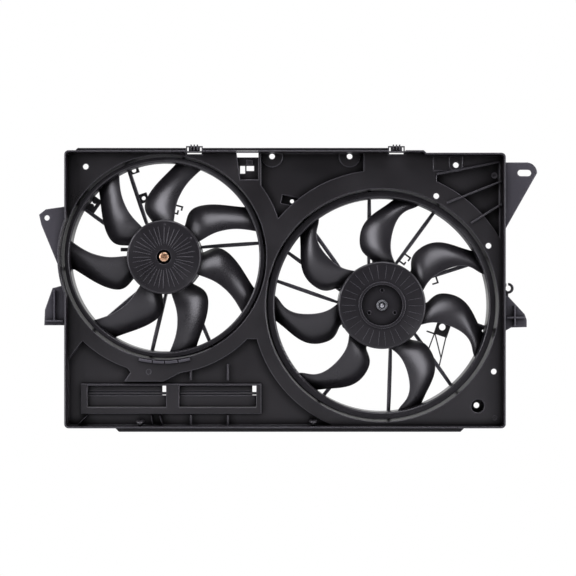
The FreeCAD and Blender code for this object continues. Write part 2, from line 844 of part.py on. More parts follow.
def build_corner_tray():
    body = build_tray("corner_tray", corner_pan)
    end = RIGHT[0] + S.corner_reach + S.plate / 2
    for leave, start, drop in CORNER_RIBS:
        begin = on_collar(S.right_barrel_radius + S.land_margin, start)
        slope = (S.body_height - drop - begin[1]) / (rib_wall() - begin[0])
        collar = on_collar(RIGHT_VALLEY - S.plate / 2, leave)
        foot = (collar[0], begin[1] + slope * (collar[0] - begin[0]))
        bar(body, foot, (end, begin[1] + slope * (end - begin[0])), S.corner_rib, LAND_BACK, S.pan_depth)
    return body


def build_peg_socket():
    # Cup behind the plate that takes a peg of the radiator
    body = new_body("peg_socket", (S.body_half_width - S.socket_inset, S.socket_z))
    outer, floor = S.socket_radius + S.socket_wall, S.socket_back - S.socket_wall
    turned(body, [
        (S.socket_radius, LAND_BACK), (outer, LAND_BACK), (outer, S.socket_back),
        (S.socket_hole_radius, S.socket_back), (S.socket_hole_radius, floor), (S.socket_radius, floor),
    ])
    return body


def disc_pad(body, x, z, radius, front, back):
    sketch = new_sketch(body, depth=front)
    circle(sketch, x, z, radius)
    return pad(body, sketch, dim(back) - front)


def tray_ribs():
    # Upright ribs in the lower tray, as middle x, lower and upper end
    return [
        (S.tray_rib_left, S.tray_rib_foot, S.tray_rib_low_top),
        (S.tray_rib_right, S.tray_rib_foot, S.tray_rib_low_top),
        (S.tray_rib_left, S.tray_rib_high_foot, S.tray_rib_high_top),
        (S.tray_rib_right, S.tray_rib_high_foot, S.tray_rib_high_top),
    ]


def clip_places():
    return [(x - S.clip_width / 2, x + S.clip_width / 2) for x in (S.left_clip_x, S.right_clip_x)]


def build_rim():
    # Walls round the tray in front of the plate, notched for the two clips and the harness pocket
    side, top = S.body_half_width, S.body_height
    corner = side - S.corner_round
    beyond = 2 * side
    left_end = (-beyond, -corner, -top, 2 * top)
    right_end = (corner, beyond, -top, 2 * top)
    cut_away = {
        "rim_top": [(-beyond, beyond, -top, top / 2), left_end, right_end],
        "rim_bottom": [(-beyond, beyond, top / 2, 2 * top), left_end, right_end],
        "rim_left": [(-corner, beyond, -top, 2 * top)],
        "rim_right": [(-beyond, corner, -top, 2 * top)],
    }
    for label, boxes in cut_away.items():
        body = new_body(label)
        sketch = new_sketch(body)
        outline(sketch, shell_outline(0))
        outline(sketch, shell_outline(S.rim_wall))
        pad(body, sketch, S.land_depth)
        for x0, x1, z0, z1 in boxes:
            box_cut(body, x0, x1, z0, z1, 0, S.land_depth)
        if label == "rim_top":
            for start, end in clip_places() + [(S.pocket_left, S.pocket_right)]:
                box_cut(body, start, end, top - S.clip_drop, top + S.rim_wall, 0, S.rim_notch_depth)


def build_barrel(side, centre, radius):
    # Fixed duct round a fan, with an inward lip at its rear end
    body = new_body("barrel_" + side, centre)
    outer = radius + S.barrel_wall
    lip = radius - S.barrel_lip
    turned(body, [
        (radius, LAND_BACK), (outer, LAND_BACK), (outer, S.barrel_back), (lip, S.barrel_back),
        (lip, S.barrel_back - S.plate), (radius, S.barrel_back - S.plate),
    ])
    return body


def on_spoke(spoke, along, right):
    # Point this far along a spoke from the fan axis, and this far to the right of its middle line
    angle, radius, offset = spoke
    lean = math.degrees(math.asin(offset.number / radius.number))
    across, up = cosine(angle - lean), sine(angle - lean)
    shift = offset - right
    return (along * across - shift * up, along * up + shift * across)


def spoke_plate(body, spoke, corners, thickness):
    # Plate beside a spoke through (along, right) corners
    sketch = new_sketch(body, depth=S.ring_front)
    outline(sketch, [on_spoke(spoke, dim(along), dim(right)) for along, right in corners])
    return pad(body, sketch, thickness)


def build_stator(side, centre, radius, motor_radius, offset, angles, tabs, jaws, braces):
    # Motor ring carried by straight spokes that pass beside the fan axis, with the wiring's fittings
    body = new_body("stator_" + side, centre)
    inner = motor_radius + S.ring_clearance
    outer = inner + S.ring_wall
    tube(body, inner, outer, S.ring_front, S.ring_back)
    half = S.spoke_width / 2
    start = leg(outer - S.ring_wall / 3, offset)
    end = radius + S.spoke_width
    for angle in angles:
        spoke_plate(body, (angle, radius, offset), [(start, half), (end, half), (end, -half), (start, -half)],
                    S.barrel_back - S.plate - S.ring_front)
    back = S.ring_front + S.tab_plate
    for angle, near, far, first, last, along, right, hole_radius, half_length in tabs:
        spoke = (angle, radius, offset)
        spoke_plate(body, spoke, [(near, first), (far, first), (far, last), (near, last)], S.tab_plate)
        if half_length:
            sketch = new_sketch(body, depth=S.ring_front)
            inside, outside = along - hole_radius, along + hole_radius
            ends = [on_spoke(spoke, dim(along), dim(right + shift)) for shift in (-half_length, half_length)]
            corners = [on_spoke(spoke, dim(far_from), dim(right + shift)) for far_from, shift in (
                (inside, -half_length), (inside, half_length), (outside, half_length), (outside, -half_length))]
            outline(sketch, [corners[0] + ends[0] + ("right",), corners[1],
                             corners[2] + ends[1] + ("right",), corners[3]])
            pocket(body, sketch, S.tab_plate)
        else:
            spot = on_spoke(spoke, dim(along), dim(right))
            hole(body, spot[0], spot[1], hole_radius, S.ring_front, back)
    wide = S.jaw_width / 2
    for angle, along, reach, tip in jaws:
        turn = 1 if tip > 0 else -1
        near, far = along - turn * wide, along + turn * wide
        spoke_plate(body, (angle, radius, offset), [
            (near, 0), (near, reach), (far + tip, reach), (far + tip, reach - S.jaw_width),
            (far, reach - S.jaw_width), (far, 0)], S.tab_plate)
    for near, near_right, far, far_right in braces:
        spoke = (tabs[0][0], radius, offset)
        bar(body, on_spoke(spoke, dim(near), dim(near_right)), on_spoke(spoke, dim(far), dim(far_right)),
            S.brace_width, S.ring_front, back)
    if side == "left":
        box_pad(body, -outer - S.stub_reach, S.ring_wall / 3 - outer, S.stub_rise, S.stub_rise + S.stub_height,
                S.ring_front, back)
    sketch = new_sketch(body, depth=S.ring_front)
    circle(sketch, 0, 0, radius)
    circle(sketch, 0, 0, radius + S.barrel_lip)
    pocket(body, sketch, S.barrel_back - S.ring_front)
    screw = hole(body, 0, motor_radius + S.screw_offset, S.screw_radius + S.screw_clearance,
                 S.ring_front, S.ring_front + S.screw_length)
    repeat(body, screw, S.screw_count)
    return body


def build_left_ear():
    body = new_body("left_ear")
    half, low = S.body_half_width, S.left_ear_bottom
    sketch = new_sketch(body, depth=LAND_BACK)
    outline(sketch, [(S.ear_root - half, low), (S.ear_root - half, low + LEFT_EAR[0][1])] + [
        (-half - reach, low + rise) for reach, rise in LEFT_EAR])
    pad(body, sketch, S.ear_plate)
    hole(body, LEFT[0], LEFT[1], LEFT_OUTER, LAND_BACK, LAND_BACK + S.ear_plate)
    hole(body, -half - S.left_ear_hole_reach, low + S.left_ear_hole_rise, S.left_ear_hole_radius,
         LAND_BACK, LAND_BACK + S.ear_plate)
    return body


def build_right_ear():
    body = new_body("right_ear")
    bend = S.right_ear_round
    half, top = S.body_half_width, S.body_height - S.right_ear_drop
    reach, root_x = half + S.right_ear_reach, half - S.right_ear_root
    sketch = new_sketch(body, depth=LAND_BACK)
    outline(sketch, [
        (root_x, top - S.right_ear_height),
        (half, top - S.right_ear_height),
        (reach, top - bend),
        (reach - bend, top, reach - bend, top - bend, "left"),
        (root_x, top),
    ])
    pad(body, sketch, S.ear_plate)
    travel = S.right_ear_slot_travel / 2
    x, z, wide = reach - S.right_ear_slot_inset, top - S.right_ear_slot_drop, S.right_ear_slot_radius
    sketch = new_sketch(body, depth=LAND_BACK)
    outline(sketch, [
        (x - travel, z - wide, x - travel, z, "left"),
        (x + travel, z - wide),
        (x + travel, z + wide, x + travel, z, "left"),
        (x - travel, z + wide),
    ])
    pocket(body, sketch, S.ear_plate)
    return body


def build_foot(side, low, corners, ribs, centre, radius):
    # Hanging foot: a plate behind the panel with stiffening ribs on its front face
    body = new_body(side + "_foot")
    way = -1 if side == "left" else 1
    half = S.body_half_width
    root_x = way * (half - S.ear_root)
    sketch = new_sketch(body, depth=LAND_BACK)
    outline(sketch, [(root_x, low), (root_x, low + corners[0][1])] + [
        (way * (half + reach), low + rise) for reach, rise in corners])
    pad(body, sketch, S.ear_plate)
    for first, last, bottom, top in ribs:
        ends = [way * (half + first), way * (half + last)]
        if way < 0:
            ends.reverse()
        box_pad(body, ends[0], ends[1], low + bottom, low + top, LAND_BACK - S.foot_rib_height,
                LAND_BACK + S.ear_plate)
    hole(body, centre[0], centre[1], radius, LAND_BACK - S.foot_rib_height, LAND_BACK + S.ear_plate)
    return body


def build_hook():
    # Open ring that holds a hose against the right side, with a tail down to the foot
    body = new_body("hose_hook")
    x, back = S.body_half_width + S.hook_reach, LAND_BACK + S.ear_plate
    disc_pad(body, x, S.hook_z, S.hook_radius, LAND_BACK, back)
    foot_top = S.right_foot_bottom + RIGHT_FOOT[0][1]
    box_pad(body, S.body_half_width, x, foot_top, S.hook_z, LAND_BACK, back)
    box_pad(body, S.body_half_width - S.right_ear_root, x - S.hook_bore, foot_top, S.hook_z + S.hook_bore,
            LAND_BACK, back)
    hole(body, x, S.hook_z, S.hook_bore, LAND_BACK, back)
    box_cut(body, x - S.hook_mouth, x, S.hook_z + S.hook_bore / 2, S.hook_z + 2 * S.hook_radius, LAND_BACK, back)
    return body


def build_clip(label, centre):
    # Snap tab with three teeth, hanging inside a slot in the top edge
    body = new_body(label)
    half = S.clip_width / 2
    clip_bottom, clip_top = S.body_height - S.clip_drop, S.body_height + S.clip_rise
    box_pad(body, centre - half, centre + half, clip_bottom, clip_top, S.clip_front, S.clip_back)
    slot = half - S.clip_wall
    tab = slot - S.clip_slot
    low = clip_bottom + S.clip_wall
    high = clip_top - S.clip_wall
    sketch = new_sketch(body, depth=S.clip_front)
    outline(sketch, [
        (centre - slot, low), (centre + slot, low), (centre + slot, high), (centre + tab, high),
        (centre + tab, low + S.clip_slot), (centre - tab, low + S.clip_slot),
        (centre - tab, high), (centre - slot, high),
    ])
    pocket(body, sketch, S.clip_back - S.clip_front)
    for step in (-1, 0, 1):
        middle = centre + step * S.clip_tooth_pitch
        box_pad(body, middle - S.clip_tooth / 2, middle + S.clip_tooth / 2, low + 2 * S.clip_slot,
                clip_top + S.clip_tooth, S.clip_front - S.clip_tooth, S.clip_front + S.clip_tooth)
    return body


def pocket_outline(grow, top):
    # Harness pocket: its left side leans to follow the left collar
    low = S.body_height - S.pocket_drop - grow
    return [
        (S.pocket_left + S.pocket_slant - grow, low),
        (S.pocket_right + grow, low),
        (S.pocket_right + grow, top),
        (S.pocket_left - grow, top),
    ]


def build_harness_bracket():
    # Shallow tray behind the pocket in the panel, with two openings and a raised square
    body = new_body("harness_bracket")
    floor_top = S.body_height - S.pocket_floor_drop
    sketch = new_sketch(body, depth=LAND_BACK)
    outline(sketch, pocket_outline(S.pocket_border, floor_top))
    pad(body, sketch, S.pocket_depth + S.plate - LAND_BACK)
    sketch = new_sketch(body, depth=LAND_BACK)
    outline(sketch, pocket_outline(0, floor_top))
    pocket(body, sketch, S.pocket_depth - LAND_BACK)
    low = S.body_height - S.pocket_drop
    tie_left = S.pocket_left + S.pocket_slant
    tie_low, plug_low, block_low = low + S.tie_hole_rise, low + S.plug_hole_rise, low + S.tie_block_rise
    plug_right = S.pocket_right - S.plug_hole_inset
    box_cut(body, tie_left, tie_left + S.tie_hole_width, tie_low, tie_low + S.tie_hole_height,
            S.pocket_depth, S.pocket_depth + S.plate)
    box_cut(body, plug_right - S.plug_hole_width, plug_right, plug_low, plug_low + S.plug_hole_height,
            S.pocket_depth, S.pocket_depth + S.plate)
    box_pad(body, plug_right - S.plug_hole_width, plug_right - S.plug_hole_width + S.tie_block_width,
            block_low, block_low + S.tie_block_height, S.pocket_depth - S.plate, S.pocket_depth)
    return body


def build_flap_frame():
    body = new_body("flap_frame")
    box_pad(body, S.window_inset - S.body_half_width, S.window_right, S.window_bottom, S.window_top,
            S.window_front, S.pan_depth)
    play = S.window_play
    box_pad(body, WINDOW_START + play, WINDOW_END - play,
            S.flap_opening_bottom - S.window_lap + play, S.flap_opening_top + S.window_lap - play,
            S.pan_depth, S.window_back)
    for start, end in flap_openings():
        box_cut(body, start, end, S.flap_opening_bottom, S.flap_opening_top,
                S.window_front, S.window_back)
        for inner, outer in ((start - S.flap_pin_length - play, start), (end, end + S.flap_pin_length + play)):
            sketch = new_sketch(body, "YZ_Plane", inner)
            circle(sketch, S.flap_pivot_depth, S.flap_pivot_z, S.flap_rod_radius + S.pin_clearance)
            bore = pocket(body, sketch, outer - inner)
            bore.Reversed = True
    return body


def flap_openings():
    return [(S.left_opening_start, S.left_opening_end), (S.right_opening_start, S.right_opening_end)]


def build_flap(label, start, end):
    # Balanced ram air flap: narrow strip above its rod and a taller panel below it
    body = new_body(label)
    gap, half = S.flap_gap, S.flap_thickness / 2
    low, high = S.flap_opening_bottom + gap, S.flap_opening_top - gap
    pivot, depth = S.flap_pivot_z, S.flap_pivot_depth
    box_pad(body, start + gap, end - gap, low, pivot - S.flap_groove, depth - half, depth + half)
    box_pad(body, start + gap, end - S.flap_corner_gap, pivot + S.flap_groove, high,
            depth - half, depth + half)
    box_pad(body, start + gap, end - S.flap_corner_gap, pivot - S.flap_groove, pivot + S.flap_groove,
            depth, depth + half)
    sketch = new_sketch(body, "YZ_Plane", start - S.flap_pin_length)
    circle(sketch, depth, pivot, S.flap_rod_radius)
    rod = pad(body, sketch, end - start + 2 * S.flap_pin_length)
    rod.Reversed = False
    return body


def blade_section(body, radius, lead, trail, front, back, turn):
    # Cambered section in the plane that faces the blade's own middle at this radius
    middle = math.radians(turn + (lead + trail) / 2)
    spread = math.radians((trail - lead) / 2)
    out, half = radius * math.cos(spread), radius * math.sin(spread)
    sketch = body.newObject("Sketcher::SketchObject", body.Name + "_section")
    sketch.AttachmentSupport = (origin_part(body, "YZ_Plane"), [""])
    sketch.MapMode = "FlatFace"
    place = FreeCAD.Vector(0, out * math.sin(middle), out * math.cos(middle))
    tilt = FreeCAD.Rotation(FreeCAD.Vector(1, 0, 0), -math.degrees(middle))
    sketch.AttachmentOffset = FreeCAD.Placement(place, tilt)
    nose = FreeCAD.Vector(S.band_front.number + front, -half, 0)
    tail = FreeCAD.Vector(S.band_front.number + back, half, 0)
    chord = tail - nose
    normal = FreeCAD.Vector(-chord.y, chord.x, 0).normalize()
    centre = (nose + tail) * 0.5 + normal * (chord.Length * S.blade_camber.number)
    edge = normal * (S.blade_edge.number / 2)
    body_half = normal * (S.blade_thickness.number / 2)
    sketch.addGeometry(Part.Arc(nose + edge, centre + body_half, tail + edge))
    sketch.addGeometry(Part.LineSegment(tail + edge, tail - edge))
    sketch.addGeometry(Part.Arc(nose - edge, centre - body_half, tail - edge))
    sketch.addGeometry(Part.LineSegment(nose - edge, nose + edge))
    for edge_index in range(4):
        sketch.addConstraint(Sketcher.Constraint("Block", edge_index))
    return sketch


def add_blade(body, stations, hub_radius, band_radius, turn):
    first = hub_radius.number - S.blade_embed.number
    last = band_radius.number + S.band_wall.number - S.blade_edge.number / 4
    sections = [blade_section(body, first + share * (last - first), lead, trail, front, back, turn)
                for share, lead, trail, front, back in stations]
    blade = body.newObject("PartDesign::AdditiveLoft", body.Name + "_blade")
    blade.Profile = sections[0]
    blade.Sections = sections[1:]
    return blade


def add_band(body, band_radius, barrel_radius):
    # Ring that joins the blade tips, with a flared lip in front
    outer = band_radius + S.band_wall
    lip = barrel_radius - S.band_lip_gap
    flare = S.band_flare
    front = S.band_front
    return turned(body, [
        (band_radius, front + flare),
        (band_radius + flare, front, band_radius + flare, front + flare, "left"),
        (lip, front),
        (lip, front + S.band_lip_plate),
        (outer, front + S.band_lip_plate),
        (outer, S.band_back),
        (band_radius, S.band_back),
    ])


def hub_shell(radius):
    # Rounded front edge, outer wall and inner face of a hub cup, as (radius, depth) corners
    bend = S.hub_edge_round
    inner = radius - S.hub_wall
    return [
        (radius - bend, S.hub_front),
        (radius, S.hub_front + bend, radius - bend, S.hub_front + bend, "left"),
        (radius, S.hub_back),
        (inner, S.hub_back),
        (inner, S.hub_front + S.hub_wall),
    ]


def left_hub_profile():
    inside = S.hub_front + S.hub_wall
    return [(S.shaft_radius, S.boss_front), (S.boss_bore_radius, S.boss_front),
            (S.boss_bore_radius, S.hub_front)] + hub_shell(S.left_hub_radius) + [
            (S.boss_outer_radius, inside), (S.boss_outer_radius, S.boss_back),
            (S.shaft_radius, S.boss_back)]


def right_hub_profile():
    floor = S.right_disc_depth
    inside = S.hub_front + S.hub_wall
    crest = S.hub_front - S.right_ring_rise
    return [(S.shaft_radius, floor), (S.right_disc_radius, floor), (S.right_disc_radius, crest),
            (S.right_ring_radius, crest), (S.right_ring_radius, S.hub_front)] + hub_shell(
            S.right_hub_radius) + [(S.right_ring_radius, inside), (S.right_ring_radius, floor + S.hub_wall),
            (S.boss_outer_radius, floor + S.hub_wall), (S.boss_outer_radius, S.boss_back),
            (S.shaft_radius, S.boss_back)]


def build_fan(side, centre, profile, hub_radius, band_radius, barrel_radius, stations, angles):
    body = new_body("fan_" + side, centre)
    turned(body, profile)
    blade = add_blade(body, stations, hub_radius, band_radius, angles[0])
    repeat(body, blade, angles=angles)
    add_band(body, band_radius, barrel_radius)
    inner = hub_radius - S.hub_wall
    turned(body, [(S.boss_outer_radius + S.hub_wall, S.boss_back), (inner, S.boss_back),
                  (inner, S.band_back), (S.boss_outer_radius + S.hub_wall, S.band_back)],
           "PartDesign::Groove")
    return body


def pierce_disc(body):
    # Small openings round the sunk disc of the right hub
    opening = hole(body, 0, S.disc_hole_place, S.disc_hole_radius, S.right_disc_depth, S.boss_back)
    repeat(body, opening, S.disc_hole_count)


def build_motor(side, centre, motor_radius, nut_radius):
    # Every piece of one brushed motor, from the fan nut in front to the socket behind
    def piece(name):
        return new_body(name + "_" + side, centre)

    shell = motor_radius - S.can_wall
    seat = S.bearing_radius
    boss = seat + S.bearing_wall
    neck = S.shaft_radius + S.can_wall
    bearing_front = S.can_front - S.bearing_proud + S.can_wall
    can = piece("motor_can")
    turned(can, [
        (neck, S.can_front - S.bearing_proud), (boss, S.can_front - S.bearing_proud),
        (boss, S.can_front), (motor_radius, S.can_front), (motor_radius, S.can_back),
        (shell, S.can_back), (shell, S.can_front + S.can_wall), (boss, S.can_front + S.can_wall),
        (boss, bearing_front + S.bearing_width), (seat, bearing_front + S.bearing_width),
        (seat, bearing_front), (neck, bearing_front),
    ])
    lug_z = motor_radius + S.screw_offset
    sketch = new_sketch(can, depth=S.lug_front)
    circle(sketch, 0, lug_z, S.lug_radius)
    circle(sketch, 0, lug_z, S.screw_radius + S.screw_clearance)
    lug = pad(can, sketch, S.ring_front - S.lug_front)
    repeat(can, lug, S.screw_count)
    tube(piece("front_bearing"), S.shaft_radius + S.shaft_clearance, seat,
         bearing_front, bearing_front + S.bearing_width)
    rear = S.can_back + S.rear_bearing_proud
    tube(piece("rear_bearing"), S.shaft_radius + S.shaft_clearance, seat, rear - S.bearing_width, rear)
    cap = piece("end_cap")
    turned(cap, [
        (0, rear), (seat, rear), (seat, S.can_back), (motor_radius, S.can_back),
        (motor_radius, S.can_back + S.cap_plate), (boss, S.can_back + S.cap_plate),
        (boss, rear + S.can_wall), (0, rear + S.can_wall),
    ])
    disc(piece("motor_shaft"), S.shaft_radius, S.shaft_front, rear - S.shaft_end_play)
    magnet_inner = shell - S.magnet_thickness
    magnets = piece("magnets")
    sketch = new_sketch(magnets, "XY_Plane")
    rectangle(sketch, magnet_inner, shell, S.magnet_start, S.magnet_end)
    magnet = magnets.newObject("PartDesign::Revolution", "magnet")
    magnet.Profile = sketch
    magnet.ReferenceAxis = (sketch, ["V_Axis"])
    magnet.setExpression("Angle", S.magnet_angle.formula)
    repeat(magnets, magnet, S.magnet_count)
    core_radius = magnet_inner - S.magnet_gap
    tube(piece("armature_core"), S.shaft_radius, core_radius, S.core_start, S.core_end)
    windings = piece("windings")
    coil_radius = core_radius - S.winding_inset
    tube(windings, S.shaft_radius, coil_radius, S.core_start - S.winding_length, S.core_start)
    tube(windings, S.shaft_radius, coil_radius, S.core_end, S.core_end + S.winding_length)
    tube(piece("commutator"), S.shaft_radius, S.commutator_radius,
         S.core_end + S.winding_length, S.commutator_end)
    tube(piece("brush_card"), S.commutator_radius + S.brush_card_gap, shell,
         S.card_front, S.card_front + S.card_thickness)
    brushes = piece("brushes")
    half = S.brush_width / 2
    near = S.commutator_radius + S.brush_gap
    brush = box_pad(brushes, near, near + S.brush_length, -half, half,
                    S.card_front + S.card_thickness, S.commutator_end)
    repeat(brushes, brush, 2)
    screws = piece("motor_screws")
    shank = disc_pad(screws, 0, lug_z, S.screw_radius, S.lug_front, S.lug_front + S.screw_length)
    head = disc_pad(screws, 0, lug_z, S.screw_head_radius, S.lug_front - S.screw_head_height, S.lug_front)
    pattern = repeat(screws, shank, S.screw_count)
    pattern.Originals = [shank, head]
    tube(piece("fan_nut"), S.shaft_radius, nut_radius, S.nut_front, S.nut_front + S.nut_height)
    socket = piece("motor_socket")
    wide, tall = S.socket_width / 2, S.socket_height / 2
    low = S.socket_offset - motor_radius
    back = S.can_back + S.cap_plate
    box_pad(socket, -wide, wide, low, low + 2 * tall, back, back + S.socket_length)
    wall = S.shell_wall
    box_cut(socket, wall - wide, wide - wall, low + wall, low + 2 * tall - wall,
            back + S.socket_floor, back + S.socket_length)
    for x in (-S.pin_pitch, S.pin_pitch):
        box_pad(socket, x - S.pin_wide / 2, x + S.pin_wide / 2, low + tall - S.pin_thick / 2,
                low + tall + S.pin_thick / 2, back, back + S.socket_length - S.socket_floor)


build_panel()
build_lower_tray()
build_valley_tray()
build_corner_tray()
build_peg_socket()
build_rim()
build_barrel("left", LEFT, S.left_barrel_radius)
build_barrel("right", RIGHT, S.right_barrel_radius)
build_stator("left", LEFT, S.left_barrel_radius, S.left_motor_radius, S.left_spoke_offset,
             LEFT_SPOKE_ANGLES, LEFT_TABS, LEFT_JAWS, ())
build_stator("right", RIGHT, S.right_barrel_radius, S.right_motor_radius, S.right_spoke_offset,
             RIGHT_SPOKE_ANGLES, RIGHT_TABS, RIGHT_JAWS, RIGHT_BRACES)
build_left_ear()
build_right_ear()
build_foot("left", S.left_foot_bottom, LEFT_FOOT, LEFT_FOOT_RIBS, LEFT, LEFT_OUTER)
build_foot("right", S.right_foot_bottom, RIGHT_FOOT, RIGHT_FOOT_RIBS, RIGHT, RIGHT_OUTER)
build_hook()
build_clip("top_clip_left", S.left_clip_x)
build_clip("top_clip_right", S.right_clip_x)
build_harness_bracket()
build_flap_frame()
for flap, (start, end) in zip(("flap_left", "flap_right"), flap_openings()):
    build_flap(flap, start, end)
build_fan("left", LEFT, left_hub_profile(), S.left_hub_radius, LEFT_BAND,
          S.left_barrel_radius, LEFT_BLADE, LEFT_BLADE_ANGLES)
pierce_disc(build_fan("right", RIGHT, right_hub_profile(), S.right_hub_radius, RIGHT_BAND,
                      S.right_barrel_radius, RIGHT_BLADE, RIGHT_BLADE_ANGLES))
build_motor("left", LEFT, S.left_motor_radius, S.left_nut_radius)
build_motor("right", RIGHT, S.right_motor_radius, S.right_nut_radius)

doc.recompute()
for item in doc.Objects:
    if "Invalid" in item.State or "Error" in item.State:
        raise RuntimeError("%s did not build: %s" % (item.Name, item.State))
os.makedirs("parts", exist_ok=True)
for body in parts:
    shape = body.Shape
    if shape.isNull() or not shape.isValid():
        raise RuntimeError("%s has no sound shape" % body.Label)
    shape.exportStep("parts/%s.step" % body.Label)
    print(body.Label, "solids", len(shape.Solids), "volume", round(shape.Volume))
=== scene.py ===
import math
import random

import bmesh
import bpy
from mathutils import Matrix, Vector


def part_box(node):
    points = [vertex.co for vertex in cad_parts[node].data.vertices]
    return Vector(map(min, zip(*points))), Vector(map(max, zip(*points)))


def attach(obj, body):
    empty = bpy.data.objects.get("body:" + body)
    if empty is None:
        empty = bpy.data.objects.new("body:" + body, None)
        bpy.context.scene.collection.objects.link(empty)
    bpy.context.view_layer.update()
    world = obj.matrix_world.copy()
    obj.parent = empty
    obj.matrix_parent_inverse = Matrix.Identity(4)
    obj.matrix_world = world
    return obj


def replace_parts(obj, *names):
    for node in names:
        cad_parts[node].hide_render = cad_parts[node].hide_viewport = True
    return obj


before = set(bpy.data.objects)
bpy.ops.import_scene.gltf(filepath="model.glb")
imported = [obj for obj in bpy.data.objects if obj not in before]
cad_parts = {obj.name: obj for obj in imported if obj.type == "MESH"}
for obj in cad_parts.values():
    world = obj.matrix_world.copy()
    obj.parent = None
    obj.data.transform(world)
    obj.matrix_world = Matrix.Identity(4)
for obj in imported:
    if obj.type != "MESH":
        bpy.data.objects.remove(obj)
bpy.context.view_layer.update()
print("stage: frame loaded with", len(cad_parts), "nodes")


# colours are written as they look on a screen, and turned to linear once
def linearColour(hexColour):
    levels = [int(hexColour[place:place + 2], 16) / 255 for place in (1, 3, 5)]
    return tuple(v / 12.92 if v <= 0.04045 else ((v + 0.055) / 1.055) ** 2.4 for v in levels) + (1.0,)


# adds one node, sets its values and links its inputs
def addNode(tree, kind, values=None, links=None, **settings):
    node = tree.nodes.new(kind)
    for name, value in settings.items():
        setattr(node, name, value)
    for key, value in (values or {}).items():
        node.inputs[key].default_value = value
    for key, source in (links or {}).items():
        tree.links.new(source, node.inputs[key])
    return node


def newMaterial(name):
    material = bpy.data.materials.new(name)
    material.use_nodes = True
    material.node_tree.nodes.clear()
    return material, material.node_tree


def perMetre(millimetres):
    return 1000.0 / millimetres  # a noise scale with one cell per so many millimetres


noiseBand = {"From Min": 0.3, "From Max": 0.7}  # a noise texture seldom leaves this band

# Moulded plastics. Sizes without a note are in metres
shroudFinish = {
    "base": "#100f10", "cloud": "#1b191b",                     # the colour wanders slowly where the melt cooled
    "cloudSize": 90.0, "cloudDetail": 3.0,                     # mm
    "grainSize": 1.3, "grainDetail": 2.0,                      # mm; real spark grain is 0.3 mm, drawn coarser to show
    "grainHeight": 0.00006, "grainStrength": 0.5,
    "roughLow": 0.27, "roughHigh": 0.43, "grainShare": 0.35,   # the rest of the roughness follows the cloud
    "edge": 0.0024,                                            # the radius that rounds an edge to the eye
    "edgeHighlightColour": "#5c5a60", "edgeHighlightShare": 0.55,                  # painted highlight: edges are drawn lighter, for the light their rounding catches
    "flatTurn": 0.995, "edgeTurn": 0.85,                       # cosine between a face and its rounded edge
    "paintedShadeReach": 0.014, "paintedShadeLowest": 0.12,                   # painted shade: inner corners are drawn darker and duller
    "hollowSky": 0.35, "openSky": 0.95,                        # how open a spot is in a corner, and on a flat
    "gloss": 0.5, "ior": 1.5,
}
fanFinish = dict(shroudFinish, base="#121113", cloud="#1a181b", cloudSize=60.0, roughLow=0.26, roughHigh=0.36,
                 grainHeight=0.00002, edge=0.0016)
# painted light: a lighter copy of the shroud's plastic for parts that catch more light, also rougher
paintedLightFinish = dict(shroudFinish, base="#29282c", cloud="#37353b", roughLow=0.36, roughHigh=0.50)


